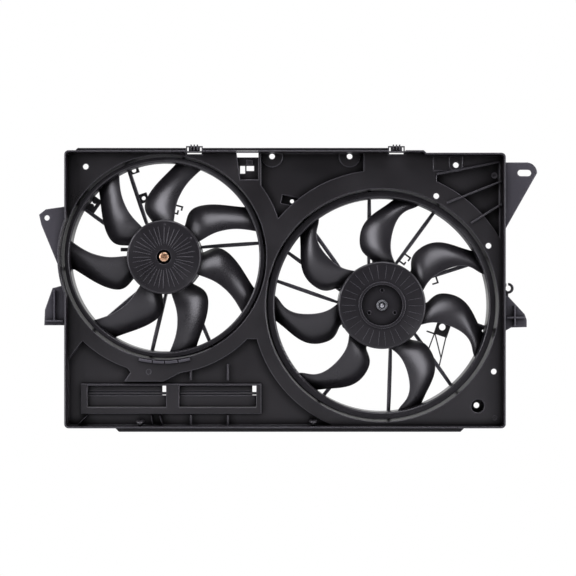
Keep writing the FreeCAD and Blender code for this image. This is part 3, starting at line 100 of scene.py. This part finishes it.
def mouldedPlastic(name, look):
    # injection moulded, glass filled plastic: satin black with soft broad highlights and a fine even grain, with
    # painted highlights on its edges and painted shade in its corners
    material, tree = newMaterial(name)
    place = addNode(tree, "ShaderNodeTexCoord").outputs["Object"]
    cloud = addNode(tree, "ShaderNodeTexNoise",
                    {"Scale": perMetre(look["cloudSize"]), "Detail": look["cloudDetail"]}, {"Vector": place})
    grain = addNode(tree, "ShaderNodeTexNoise",
                    {"Scale": perMetre(look["grainSize"]), "Detail": look["grainDetail"]}, {"Vector": place})
    colour = addNode(tree, "ShaderNodeMix", data_type="RGBA", links={"Factor": cloud.outputs["Fac"]})
    colour.inputs[6].default_value = linearColour(look["base"])
    colour.inputs[7].default_value = linearColour(look["cloud"])

    # the gloss changes with the grain and the cloud
    mixed = addNode(tree, "ShaderNodeMath", {1: look["grainShare"]}, {0: grain.outputs["Fac"]},
                    operation="MULTIPLY")
    spread = addNode(tree, "ShaderNodeMath", {1: 1 - look["grainShare"]}, {0: cloud.outputs["Fac"]},
                     operation="MULTIPLY")
    total = addNode(tree, "ShaderNodeMath", links={0: mixed.outputs[0], 1: spread.outputs[0]}, operation="ADD")
    rough = addNode(tree, "ShaderNodeMapRange",
                    {**noiseBand, "To Min": look["roughLow"], "To Max": look["roughHigh"]},
                    {"Value": total.outputs[0]})
    soft = addNode(tree, "ShaderNodeBevel", {"Radius": look["edge"]}, samples=4)
    bump = addNode(tree, "ShaderNodeBump", {"Strength": look["grainStrength"], "Distance": look["grainHeight"]},
                   {"Height": grain.outputs["Fac"], "Normal": soft.outputs[0]})

    # painted highlight: an edge is where the rounded normal turns away from the face's own, and there a lighter
    # colour is mixed in
    plain = addNode(tree, "ShaderNodeNewGeometry").outputs["Normal"]
    turned = addNode(tree, "ShaderNodeVectorMath", links={0: soft.outputs[0], 1: plain}, operation="DOT_PRODUCT")
    edgeHighlightMask = addNode(tree, "ShaderNodeMapRange",
                   {"From Min": look["flatTurn"], "From Max": look["edgeTurn"], "To Min": 0.0,
                    "To Max": look["edgeHighlightShare"]}, {"Value": turned.outputs["Value"]})
    edged = addNode(tree, "ShaderNodeMix", data_type="RGBA",
                    links={"Factor": edgeHighlightMask.outputs[0], 6: colour.outputs[2]})
    edged.inputs[7].default_value = linearColour(look["edgeHighlightColour"])

    # painted shade: a hollow gets less colour and less gloss, from the ambient occlusion
    cornerShadeAO = addNode(tree, "ShaderNodeAmbientOcclusion", {"Distance": look["paintedShadeReach"]}, samples=6)
    paintedShadeFactor = addNode(tree, "ShaderNodeMapRange",
                       {"From Min": look["hollowSky"], "From Max": look["openSky"],
                        "To Min": look["paintedShadeLowest"], "To Max": 1.0}, {"Value": cornerShadeAO.outputs["AO"]})
    shaded = addNode(tree, "ShaderNodeVectorMath", links={0: edged.outputs[2], "Scale": paintedShadeFactor.outputs[0]},
                     operation="SCALE")
    gloss = addNode(tree, "ShaderNodeMath", {1: look["gloss"]}, {0: paintedShadeFactor.outputs[0]}, operation="MULTIPLY")
    shader = addNode(tree, "ShaderNodeBsdfPrincipled", {"IOR": look["ior"]}, {
        "Base Color": shaded.outputs[0], "Roughness": rough.outputs[0], "Normal": bump.outputs[0],
        "Specular IOR Level": gloss.outputs[0]})
    addNode(tree, "ShaderNodeOutputMaterial", links={"Surface": shader.outputs[0]})
    return material


# black, satin and finely grained
glassFilledPolypropylene = mouldedPlastic("glassFilledPolypropylene", shroudFinish)
# smoother, with broad highlights
glassFilledNylon = mouldedPlastic("glassFilledNylon", fanFinish)
# the shroud's own plastic drawn lighter where it stands free: painted light, as these parts catch more light
paintedLightPlastic = mouldedPlastic("paintedLightPlastic", paintedLightFinish)

# Metals and the inside of the motors: the tool's marks, their share in the roughness, and their height in metres
toolMarks = {"detail": 4.0, "spread": 0.25, "strength": 0.4, "height": 0.00002}


def metalFinish(name, colour, dark, roughness, size, stretch=(1.0, 1.0, 1.0), metallic=1.0):
    # turned, drawn or plated metal: fine marks of the tool change the gloss more than the colour
    material, tree = newMaterial(name)
    place = addNode(tree, "ShaderNodeTexCoord").outputs["Object"]
    run = addNode(tree, "ShaderNodeMapping", {"Scale": stretch}, {"Vector": place})
    marks = addNode(tree, "ShaderNodeTexNoise", {"Scale": perMetre(size), "Detail": toolMarks["detail"]},
                    {"Vector": run.outputs[0]})
    tint = addNode(tree, "ShaderNodeMix", data_type="RGBA", links={"Factor": marks.outputs["Fac"]})
    tint.inputs[6].default_value = linearColour(dark)
    tint.inputs[7].default_value = linearColour(colour)
    rough = addNode(tree, "ShaderNodeMapRange",
                    {**noiseBand, "To Min": roughness * (1 - toolMarks["spread"]),
                     "To Max": roughness * (1 + toolMarks["spread"])}, {"Value": marks.outputs["Fac"]})
    bump = addNode(tree, "ShaderNodeBump", {"Strength": toolMarks["strength"], "Distance": toolMarks["height"]},
                   {"Height": marks.outputs["Fac"]})
    shader = addNode(tree, "ShaderNodeBsdfPrincipled", {"Metallic": metallic}, {
        "Base Color": tint.outputs[2], "Roughness": rough.outputs[0], "Normal": bump.outputs[0]})
    addNode(tree, "ShaderNodeOutputMaterial", links={"Surface": shader.outputs[0]})
    return material


# bright, with fine turning rings
groundSteel = metalFinish("groundSteel", "#c9cacc", "#a6a8ab", 0.28, 2.0, (1.0, 12.0, 1.0))
# warm and bright, slightly mottled where it was pressed
pressedBrass = metalFinish("pressedBrass", "#ecc9a8", "#b88a68", 0.30, 2.4)
# cool grey, slightly cloudy
zincPlatedSteel = metalFinish("zincPlatedSteel", "#b9bdc2", "#8f949b", 0.35, 3.0)
# thin even black coat over drawn sheet
blackCoatedSteel = metalFinish("blackCoatedSteel", "#232326", "#19191b", 0.42, 8.0, metallic=0.0)
# stacked sheets show as rings
laminatedSteel = metalFinish("laminatedSteel", "#8b8e92", "#5f6266", 0.45, 1.0, (0.2, 12.0, 0.2))
# varnished wire, reddish
enamelledCopper = metalFinish("enamelledCopper", "#b5673a", "#7d3d1e", 0.33, 1.4)
# dull dark grey ceramic
sinteredFerrite = metalFinish("sinteredFerrite", "#3a3a3d", "#262628", 0.7, 2.0, metallic=0.0)
# brown pressed paper board
phenolicBoard = metalFinish("phenolicBoard", "#6b4526", "#51331b", 0.55, 6.0, metallic=0.0)
# soft black, almost no gloss
pressedCarbon = metalFinish("pressedCarbon", "#1f1f20", "#131314", 0.6, 1.5, metallic=0.0)
print("stage: materials made")


# Finishes on the CAD nodes, by the node's name or by its name without the side. All others are polypropylene
nodeFinishes = {
    "fan": glassFilledNylon, "fan_nut": groundSteel, "motor_shaft": groundSteel,
    "armature_core": laminatedSteel, "windings": enamelledCopper, "commutator": enamelledCopper,
    "motor_can": blackCoatedSteel, "end_cap": blackCoatedSteel, "front_bearing": groundSteel,
    "rear_bearing": groundSteel, "magnets": sinteredFerrite, "brush_card": phenolicBoard,
    "brushes": pressedCarbon, "motor_screws": zincPlatedSteel,
    # painted light: the ears and feet get the lighter copy of the shroud's plastic
    "left_ear": paintedLightPlastic, "right_ear": paintedLightPlastic, "left_foot": paintedLightPlastic,
    "right_foot": paintedLightPlastic,
}
shading = {"weld": 0.00001, "sharpFrom": 32}  # metres, and degrees between two faces


def edgeShading():
    # smooth shading that keeps the sharp edges sharp, as a modifier on every mesh
    tree = bpy.data.node_groups.new("edgeShading", "GeometryNodeTree")
    tree.interface.new_socket("Geometry", in_out="INPUT", socket_type="NodeSocketGeometry")
    tree.interface.new_socket("Geometry", in_out="OUTPUT", socket_type="NodeSocketGeometry")
    start = addNode(tree, "NodeGroupInput").outputs[0]
    welded = addNode(tree, "GeometryNodeMergeByDistance", {"Distance": shading["weld"]}, {"Geometry": start})
    smooth = addNode(tree, "GeometryNodeSetShadeSmooth", {"Shade Smooth": True},
                     {"Geometry": welded.outputs[0]}, domain="FACE")
    angle = addNode(tree, "GeometryNodeInputMeshEdgeAngle")
    steep = addNode(tree, "FunctionNodeCompare", {1: math.radians(shading["sharpFrom"])},
                    {0: angle.outputs["Unsigned Angle"]}, operation="GREATER_THAN")
    sharp = addNode(tree, "GeometryNodeSetShadeSmooth", {"Shade Smooth": False},
                    {"Geometry": smooth.outputs[0], "Selection": steep.outputs[0]}, domain="EDGE")
    addNode(tree, "NodeGroupOutput", links={0: sharp.outputs[0]})
    return tree


shadingGroup = edgeShading()


def shadeEdges(piece):
    piece.modifiers.new("edgeShading", "NODES").node_group = shadingGroup


for nodeName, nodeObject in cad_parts.items():
    stem = nodeName.rsplit("_", 1)[0] if nodeName.endswith(("_left", "_right")) else nodeName
    finish = nodeFinishes.get(nodeName) or nodeFinishes.get(stem) or glassFilledPolypropylene
    for materialSlot in nodeObject.material_slots:
        materialSlot.material = finish
    shadeEdges(nodeObject)
print("stage: finishes set on the CAD nodes")


# Pieces of this scene, written in millimetres: X to the right, Y to the back and Z up
def addPiece(name, shape, material, body):
    bmesh.ops.recalc_face_normals(shape, faces=shape.faces)
    bmesh.ops.scale(shape, vec=(0.001, 0.001, 0.001), verts=shape.verts)
    mesh = bpy.data.meshes.new(name)
    shape.to_mesh(mesh)
    shape.free()
    mesh.materials.append(material)
    piece = bpy.data.objects.new(name, mesh)
    bpy.context.scene.collection.objects.link(piece)
    shadeEdges(piece)
    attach(piece, body)
    return piece


def lathe(shape, centre, profile, steps, recess=None):
    # turns a profile of radius and depth about an axis along Y; recess gives a depth to add at a place
    rings = []
    for radius, depth in profile:
        if radius == 0:
            rings.append([shape.verts.new((centre[0], depth + (recess(0, 0) if recess else 0), centre[1]))])
            continue
        ring = []
        for step in range(steps):
            across = radius * math.cos(2 * math.pi * step / steps)
            rise = radius * math.sin(2 * math.pi * step / steps)
            change = recess(across, rise) if recess else 0
            ring.append(shape.verts.new((centre[0] + across, depth + change, centre[1] + rise)))
        rings.append(ring)
    for first, second in zip(rings, rings[1:]):
        for step in range(steps):
            after = (step + 1) % steps
            if len(first) == 1:
                shape.faces.new((first[0], second[step], second[after]))
            elif len(second) == 1:
                shape.faces.new((first[step], first[after], second[0]))
            else:
                shape.faces.new((first[step], first[after], second[after], second[step]))


def loft(shape, sections):
    # joins closed sections with the same number of points, and closes both ends
    for near, far in zip(sections, sections[1:]):
        for place in range(len(near)):
            after = (place + 1) % len(near)
            shape.faces.new((near[place], near[after], far[after], far[place]))
    shape.faces.new(sections[0])
    shape.faces.new(sections[-1])


# the share of a ridge's width and height along its length, and its height across its width
ridgeLength = ((0.0, 0.3), (0.06, 0.8), (0.3, 1.0), (0.7, 1.0), (0.94, 0.8), (1.0, 0.3))
ridgeCrown = ((-1.0, 0.0), (-0.7, 0.75), (0.0, 1.0), (0.7, 0.75), (1.0, 0.0))


def ridge(shape, start, end, width, foot, top):
    # a low rounded rib from one place to the other, thinner at its ends
    run = Vector((end[0] - start[0], end[1] - start[1]))
    side = Vector((-run.y, run.x)).normalized()
    rows = []
    for along, share in ridgeLength:
        middle = Vector(start) + run * along
        row = []
        for across, height in ridgeCrown:
            point = middle + side * (across * share * width / 2)
            row.append(shape.verts.new((point.x, foot + (top - foot) * height * share, point.y)))
        rows.append(row)
    loft(shape, rows)


def middleOf(node):
    low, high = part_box(node)
    return ((low[0] + high[0]) * 500, (low[2] + high[2]) * 500)


def around(centre, reach, turn):
    return (centre[0] + reach * math.cos(turn), centre[1] + reach * math.sin(turn))


leftAxis = middleOf("fan_nut_left")
rightAxis = middleOf("fan_nut_right")

# Fine radial ribs moulded on the hubs of both fans, uneven in turn, reach and rise as in the photograph
leftHub = {"count": 36, "inner": 18.0, "outer": 51.0, "uneven": 3.0, "width": 1.5, "front": 20.1, "rise": 0.75,
           "unevenTurn": 0.12, "lowest": 0.7, "seed": 5}
rightHub = dict(leftHub, count=30, inner=41.0, outer=66.0, uneven=1.5, width=0.9, rise=0.3, seed=8)


def hubRibs(name, axis, look, body):
    chance = random.Random(look["seed"])
    shape = bmesh.new()
    for rib in range(look["count"]):
        angle = 2 * math.pi * (rib + chance.uniform(-look["unevenTurn"], look["unevenTurn"])) / look["count"]
        inner = look["inner"] + chance.uniform(0, look["uneven"])
        outer = look["outer"] - chance.uniform(0, look["uneven"])
        rise = look["rise"] * chance.uniform(look["lowest"], 1.0)
        ridge(shape, around(axis, inner, angle), around(axis, outer, angle), look["width"], look["front"],
              look["front"] - rise)
    return addPiece(name, shape, glassFilledNylon, body)


hubRibs("left_hub_ribs", leftAxis, leftHub, "left_rotor")
hubRibs("right_hub_ribs", rightAxis, rightHub, "right_rotor")

# Two ejector marks on the left hub, each a low ring with a sunk middle
hubMarks = {"reach": 52.5, "angles": (88.0, 35.0), "radius": 1.7, "front": 19.6, "base": 20.1, "bevel": 0.2,
            "flatShare": 0.8, "cupShare": 0.5, "cupLift": 0.1, "steps": 20}

markRadius, markCup = hubMarks["radius"], hubMarks["base"] - hubMarks["cupLift"]
markProfile = [(markRadius, hubMarks["base"]), (markRadius, hubMarks["front"] + hubMarks["bevel"]),
               (markRadius * hubMarks["flatShare"], hubMarks["front"]),
               (markRadius * hubMarks["cupShare"], markCup), (0, markCup)]
markShape = bmesh.new()
for turn in hubMarks["angles"]:
    spot = around(leftAxis, hubMarks["reach"], math.radians(turn))
    lathe(markShape, spot, markProfile, hubMarks["steps"])
addPiece("left_hub_marks", markShape, glassFilledNylon, "left_rotor")

# Raised rims round the three holes of the right hub's disc
discRims = {"reach": 24.0, "angles": (90.0, 210.0, 330.0), "inner": 2.4, "outer": 4.0, "front": 25.5,
            "base": 26.1, "slope": 0.3, "steps": 24}

rimProfile = [(discRims["outer"], discRims["base"]), (discRims["outer"] - discRims["slope"], discRims["front"]),
              (discRims["inner"] + discRims["slope"], discRims["front"]), (discRims["inner"], discRims["base"]),
              (discRims["outer"], discRims["base"])]
rimShape = bmesh.new()
for turn in discRims["angles"]:
    spot = around(rightAxis, discRims["reach"], math.radians(turn))
    lathe(rimShape, spot, rimProfile, discRims["steps"])
addPiece("right_disc_rims", rimShape, glassFilledNylon, "right_rotor")

# The left fan is held by a domed brass head with a worn cross recess. Its shoulder is radius and drop
brassHead = {"radius": 8.0, "front": 21.0, "back": 26.0, "ringStep": 0.35, "rings": 18, "bulge": 0.006,
             "shoulder": ((6.9, 0.9), (7.6, 1.6)), "wallDrop": 2.6, "steps": 72,
             "slotHalf": 0.9, "slotReach": 4.4, "slotDepth": 0.9, "slotTurn": 22.0}


def crossRecess(across, rise):
    turn = math.radians(brassHead["slotTurn"])
    along = abs(across * math.cos(turn) + rise * math.sin(turn))
    beside = abs(rise * math.cos(turn) - across * math.sin(turn))
    inside = max(along, beside) < brassHead["slotReach"] and min(along, beside) < brassHead["slotHalf"]
    return brassHead["slotDepth"] if inside else 0.0


headShape = bmesh.new()
face, ringStep = brassHead["front"], brassHead["ringStep"]
dome = [(0, face)]
dome += [(ringStep * step, face + brassHead["bulge"] * step * step * ringStep)
         for step in range(1, brassHead["rings"] + 1)]
dome += [(reach, face + drop) for reach, drop in brassHead["shoulder"]]
dome += [(brassHead["radius"], face + brassHead["wallDrop"]), (brassHead["radius"], brassHead["back"]),
         (0, brassHead["back"])]
lathe(headShape, leftAxis, dome, brassHead["steps"], crossRecess)
brassPiece = addPiece("left_brass_head", headShape, pressedBrass, "left_rotor")
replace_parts(brassPiece, "fan_nut_left")

# The right fan is held by a steel ring nut
steelNut = {"radius": 8.7, "bore": 5.4, "front": 21.0, "back": 26.0, "bevel": 0.9, "boreBevel": 0.6,
            "boreDrop": 0.7, "steps": 64}

nutShape = bmesh.new()
lathe(nutShape, rightAxis, [
    (steelNut["bore"], steelNut["back"]), (steelNut["bore"], steelNut["front"] + steelNut["boreDrop"]),
    (steelNut["bore"] + steelNut["boreBevel"], steelNut["front"]),
    (steelNut["radius"] - steelNut["bevel"], steelNut["front"]),
    (steelNut["radius"], steelNut["front"] + steelNut["bevel"]), (steelNut["radius"], steelNut["back"]),
    (steelNut["bore"], steelNut["back"])], steelNut["steps"])
nutPiece = addPiece("right_ring_nut", nutShape, groundSteel, "right_rotor")
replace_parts(nutPiece, "fan_nut_right")

# The shafts end in a narrow tip. Its nose is a share of the tip's radius and a depth behind the front, and the
# shoulder behind it is what the shaft's radius still lacks and a depth
shaftEnds = {"leftFront": 24.0, "rightFront": 22.0, "radius": 4.0, "tip": 1.9,
             "nose": ((0.6, 0.1), (1.0, 0.7), (1.0, 1.6)), "shoulder": ((0.4, 2.0), (0.0, 2.6)), "bevel": 0.5,
             "steps": 40}


def motorShaft(name, node, axis, front, body):
    low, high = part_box(node)
    radius, back, bevel = shaftEnds["radius"], high[1] * 1000, shaftEnds["bevel"]
    profile = [(0, front)]
    profile += [(shaftEnds["tip"] * share, front + depth) for share, depth in shaftEnds["nose"]]
    profile += [(radius - lack, front + depth) for lack, depth in shaftEnds["shoulder"]]
    profile += [(radius, back - bevel), (radius - bevel, back), (0, back)]
    shape = bmesh.new()
    lathe(shape, axis, profile, shaftEnds["steps"])
    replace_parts(addPiece(name, shape, groundSteel, body), node)


motorShaft("left_turned_shaft", "motor_shaft_left", leftAxis, shaftEnds["leftFront"], "left_rotor")
motorShaft("right_turned_shaft", "motor_shaft_right", rightAxis, shaftEnds["rightFront"], "right_rotor")
print("stage: hubs and nuts made")


# Four short arcs of a raised strip under the left ring, where the moulding is thicker
strip = {"inner": 166.2, "outer": 170.6, "front": 17.5, "back": 22.3, "angles": (-104.0, -96.2, -89.6, -82.2, -75.2),
         "gap": 0.35, "steps": 6, "bevel": 0.9, "slope": 0.3, "bevelDrop": 1.2}

stripProfile = ((strip["inner"], strip["back"]), (strip["inner"], strip["front"]),
                (strip["outer"] - strip["bevel"], strip["front"] + strip["slope"]),
                (strip["outer"], strip["front"] + strip["bevelDrop"]), (strip["outer"], strip["back"]))
stripShape = bmesh.new()
for first, last in zip(strip["angles"], strip["angles"][1:]):
    sections = []
    for step in range(strip["steps"] + 1):
        share = step / strip["steps"]
        turn = math.radians(first + strip["gap"] + (last - first - 2 * strip["gap"]) * share)
        section = []
        for radius, depth in stripProfile:
            across, high = around(leftAxis, radius, turn)
            section.append(stripShape.verts.new((across, depth, high)))
        sections.append(section)
    loft(stripShape, sections)
# painted light: the strip gets the lighter copy of the shroud's plastic
addPiece("ring_strip", stripShape, paintedLightPlastic, "shroud")

# Two three-lobed locating pins stand by the lower edge. The taper is a depth behind the front and a share of the size
pins = {"places": ((-231.2, 6.8), (44.9, 7.6)), "radius": 5.6, "lobe": 1.5, "lobes": 3, "front": 7.0, "back": 22.4,
        "taper": ((6.0, 1.0), (3.0, 0.85), (1.0, 0.55), (0.0, 0.2)), "steps": 36}

pinShape = bmesh.new()
for place in pins["places"]:
    sections = []
    for depth, share in [(pins["back"], 1.0)] + [(pins["front"] + drop, share) for drop, share in pins["taper"]]:
        section = []
        for step in range(pins["steps"]):
            turn = 2 * math.pi * step / pins["steps"]
            reach = (pins["radius"] + pins["lobe"] * math.cos(pins["lobes"] * turn - math.pi / 2)) * share
            across, high = around(place, reach, turn)
            section.append(pinShape.verts.new((across, depth, high)))
        sections.append(section)
    loft(pinShape, sections)
addPiece("locating_pins", pinShape, glassFilledPolypropylene, "shroud")

# Thin ribs between the flap window and the lower edge
lowRibs = {"width": 2.0, "front": 14.0, "back": 32.2,
           "runs": (((-331.0, 3.6), (-316.5, 18.4)), ((-214.2, 18.7), (-211.0, 3.5)),
                    ((-200.6, 18.7), (-195.5, 3.5)))}

lowShape = bmesh.new()
for start, end in lowRibs["runs"]:
    ridge(lowShape, start, end, lowRibs["width"], lowRibs["back"], lowRibs["front"])
addPiece("lower_edge_ribs", lowShape, glassFilledPolypropylene, "shroud")

# Flanges on the front of the spokes, which make them look broader from the front. Each side has its angles, the
# spokes' distance beside the fan's axis, and the radii of the motor ring and the barrel
spokeFlanges = {"width": 6.4, "front": 68.9, "back": 70.3, "endGap": 0.6}
spokeSides = (
    (leftAxis, (8.5, 80.0, 113.0, 149.0, 186.0, 225.0, 261.0, 297.0, 333.0), 13.0, 59.8, 164.0),
    (rightAxis, (23.5, 59.5, 95.5, 131.5, 150.0, 166.5, 237.5, 274.0, 311.0, 347.5), 19.0, 69.8, 186.5),
)

flangeShape = bmesh.new()
for axis, angles, offset, ringRadius, barrelRadius in spokeSides:
    lean = math.asin(offset / barrelRadius)
    ringEnd = math.sqrt(ringRadius ** 2 - offset ** 2)
    barrelEnd = math.sqrt(barrelRadius ** 2 - offset ** 2) - spokeFlanges["endGap"]
    for angle in angles:
        turn = math.radians(angle) - lean
        ends = [(axis[0] + along * math.cos(turn) - offset * math.sin(turn),
                 axis[1] + along * math.sin(turn) + offset * math.cos(turn)) for along in (ringEnd, barrelEnd)]
        ridge(flangeShape, ends[0], ends[1], spokeFlanges["width"], spokeFlanges["back"], spokeFlanges["front"])
# painted light: the flanges get the lighter copy of the shroud's plastic
addPiece("spoke_flanges", flangeShape, paintedLightPlastic, "shroud")


# Thin lips round the two flaps close the gap to the window frame, except at the pins and at each flap's open corner
flapLips = {"reach": 0.8, "thickness": 0.7, "lap": 0.3, "corner": 5.5, "cornerDrop": 14.8, "pinReach": 4.0}


def lipBar(shape, x0, x1, z0, z1, y0, y1):
    corners = [shape.verts.new((x, y, z)) for y in (y0, y1) for x, z in ((x0, z0), (x1, z0), (x1, z1), (x0, z1))]
    for face in ((0, 1, 2, 3), (4, 5, 6, 7), (0, 1, 5, 4), (1, 2, 6, 5), (2, 3, 7, 6), (3, 0, 4, 7)):
        shape.faces.new([corners[corner] for corner in face])


for side in ("left", "right"):
    low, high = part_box("flap_" + side)
    x0, x1 = low[0] * 1000 + flapLips["pinReach"], high[0] * 1000 - flapLips["pinReach"]
    z0, z1 = low[2] * 1000, high[2] * 1000
    y0 = (low[1] + high[1]) * 500 - flapLips["thickness"] / 2
    y1 = y0 + flapLips["thickness"]
    reach, lap = flapLips["reach"], flapLips["lap"]
    lipShape = bmesh.new()
    lipBar(lipShape, x0 - reach, x1 + reach, z0 - reach, z0 + lap, y0, y1)
    lipBar(lipShape, x0 - reach, x1 - flapLips["corner"], z1 - lap, z1 + reach, y0, y1)
    lipBar(lipShape, x0 - reach, x0 + lap, z0 + lap, z1 - lap, y0, y1)
    lipBar(lipShape, x1 - lap, x1 + reach, z0 + lap, z1 - flapLips["cornerDrop"], y0, y1)
    addPiece(side + "_flap_lip", lipShape, glassFilledPolypropylene, side + "_ram_air_flap")

# Faint round marks of the mould's ejectors: place across, height, and the depth of the face that bears them. Their
# profile is how far inside the radius a point lies, and how far it rises from the face as a share of the rise
ejectorMarks = {"radius": 4.8, "rise": 0.35, "sink": 0.2, "floorRise": 0.05, "edgeShare": 0.5, "bevel": 0.4,
                "crest": 0.9, "slope": 1.2, "steps": 32,
                "places": ((334.9, 402.4, 22.0), (335.0, 14.8, 22.0), (-218.0, 88.5, 22.0))}

ejectorShape = bmesh.new()
for across, high, depth in ejectorMarks["places"]:
    outer, rise, floorDepth = ejectorMarks["radius"], ejectorMarks["rise"], depth - ejectorMarks["floorRise"]
    lathe(ejectorShape, (across, high), [
        (outer, depth + ejectorMarks["sink"]), (outer, depth - rise * ejectorMarks["edgeShare"]),
        (outer - ejectorMarks["bevel"], depth - rise), (outer - ejectorMarks["crest"], depth - rise),
        (outer - ejectorMarks["slope"], floorDepth), (0, floorDepth)], ejectorMarks["steps"])
addPiece("ejector_marks", ejectorShape, glassFilledPolypropylene, "shroud")
print("stage: small mouldings made")


# Floor, light and camera. The spans are where the world changes from its front to its back level, along Y
studio = {
    "floorDrop": 0.235, "floorSize": 14.0, "paper": "#e9e9ea",
    "ambientSpan": (-0.2, 0.5), "ambientFront": 0.08, "ambientBack": 0.30,
    "mirrorSpan": (-0.1, 0.35), "mirrorFront": 0.04, "mirrorBack": 1.0,
    "lampColour": "#f8f6ff", "aim": (0.0, 0.03, 0.22),
}
white = (1, 1, 1, 1)


def seenWhite(tree, lit):
    # white to the eye, also behind clear things, and plainly lit for every other ray
    path = addNode(tree, "ShaderNodeLightPath")
    seen = addNode(tree, "ShaderNodeMath", operation="MAXIMUM",
                   links={0: path.outputs["Is Camera Ray"], 1: path.outputs["Is Transmission Ray"]})
    glow = addNode(tree, "ShaderNodeEmission", {"Color": white, "Strength": 1.0})
    return addNode(tree, "ShaderNodeMixShader", links={0: seen.outputs[0], 1: lit, 2: glow.outputs[0]})


floorMaterial, floorTree = newMaterial("paperSweep")
paper = addNode(floorTree, "ShaderNodeBsdfDiffuse", {"Color": linearColour(studio["paper"])})
addNode(floorTree, "ShaderNodeOutputMaterial", links={"Surface": seenWhite(floorTree, paper.outputs[0]).outputs[0]})
half = studio["floorSize"] / 2
floorMesh = bpy.data.meshes.new("paperSweep")
floorMesh.from_pydata([(-half, -half, 0), (half, -half, 0), (half, half, 0), (-half, half, 0)], [], [(0, 1, 2, 3)])
floorMesh.materials.append(floorMaterial)
floor = bpy.data.objects.new("paperSweep", floorMesh)
floor.location.z = -studio["floorDrop"]
bpy.context.scene.collection.objects.link(floor)


# To the eye the world is white all round. It lights the object more from behind than from in front, and glossy
# faces mirror it white behind the object and nearly black in front, as in a dark studio with a white backdrop
world = bpy.data.worlds.new("studioWorld")
bpy.context.scene.world = world
world.use_nodes = True
sky = world.node_tree
sky.nodes.clear()
direction = addNode(sky, "ShaderNodeTexCoord").outputs["Generated"]
axes = addNode(sky, "ShaderNodeSeparateXYZ", links={0: direction})
ambientLevel = addNode(sky, "ShaderNodeMapRange", {
    "From Min": studio["ambientSpan"][0], "From Max": studio["ambientSpan"][1],
    "To Min": studio["ambientFront"], "To Max": studio["ambientBack"]}, {"Value": axes.outputs["Y"]})
mirrorLevel = addNode(sky, "ShaderNodeMapRange", {
    "From Min": studio["mirrorSpan"][0], "From Max": studio["mirrorSpan"][1],
    "To Min": studio["mirrorFront"], "To Max": studio["mirrorBack"]}, {"Value": axes.outputs["Y"]})
ambient = addNode(sky, "ShaderNodeBackground", {"Color": white}, {"Strength": ambientLevel.outputs[0]})
mirrored = addNode(sky, "ShaderNodeBackground", {"Color": white}, {"Strength": mirrorLevel.outputs[0]})
backdrop = addNode(sky, "ShaderNodeBackground", {"Color": white, "Strength": 1.0})
rays = addNode(sky, "ShaderNodeLightPath")
seenRays = addNode(sky, "ShaderNodeMath", operation="MAXIMUM",
                   links={0: rays.outputs["Is Camera Ray"], 1: rays.outputs["Is Transmission Ray"]})
litMix = addNode(sky, "ShaderNodeMixShader",
                 links={0: rays.outputs["Is Glossy Ray"], 1: ambient.outputs[0], 2: mirrored.outputs[0]})
skyMix = addNode(sky, "ShaderNodeMixShader",
                 links={0: seenRays.outputs[0], 1: litMix.outputs[0], 2: backdrop.outputs[0]})
addNode(sky, "ShaderNodeOutputWorld", links={"Surface": skyMix.outputs[0]})

# Three softboxes in front of the object: place, width and height in metres, and power in watts
softboxes = {
    "leftSoftbox": {"place": (-1.87, -1.17, 0.8), "width": 1.1, "height": 1.6, "power": 52.0},
    "rightSoftbox": {"place": (1.87, -1.17, 0.6), "width": 1.1, "height": 1.6, "power": 40.0},
    "topSoftbox": {"place": (0.1, -1.1, 2.1), "width": 1.8, "height": 1.1, "power": 44.0},
}

for lampName, look in softboxes.items():
    lamp = bpy.data.lights.new(lampName, "AREA")
    lamp.shape = "RECTANGLE"
    lamp.size, lamp.size_y = look["width"], look["height"]
    lamp.energy = look["power"]
    lamp.color = linearColour(studio["lampColour"])[:3]
    holder = bpy.data.objects.new(lampName, lamp)
    holder.location = look["place"]
    aimed = (Vector(studio["aim"]) - Vector(look["place"])).to_track_quat("-Z", "Y")
    holder.rotation_euler = aimed.to_euler()
    bpy.context.scene.collection.objects.link(holder)

# The camera sees the object as the photograph does: metres, and the sensor in millimetres
photoView = {"distance": 2.5, "frameWidth": 0.91296, "aimX": 0.00475, "aimZ": 0.2225, "sensor": 36.0}

cameraData = bpy.data.cameras.new("photoCamera")
cameraData.sensor_width = photoView["sensor"]
cameraData.lens = photoView["sensor"] * photoView["distance"] / photoView["frameWidth"]
camera = bpy.data.objects.new("photoCamera", cameraData)
camera.location = (photoView["aimX"], -photoView["distance"], photoView["aimZ"])
camera.rotation_euler = (math.radians(90), 0, 0)
bpy.context.scene.collection.objects.link(camera)
bpy.context.scene.camera = camera
bpy.context.scene.view_settings.view_transform = "Standard"
print("stage: studio set up")
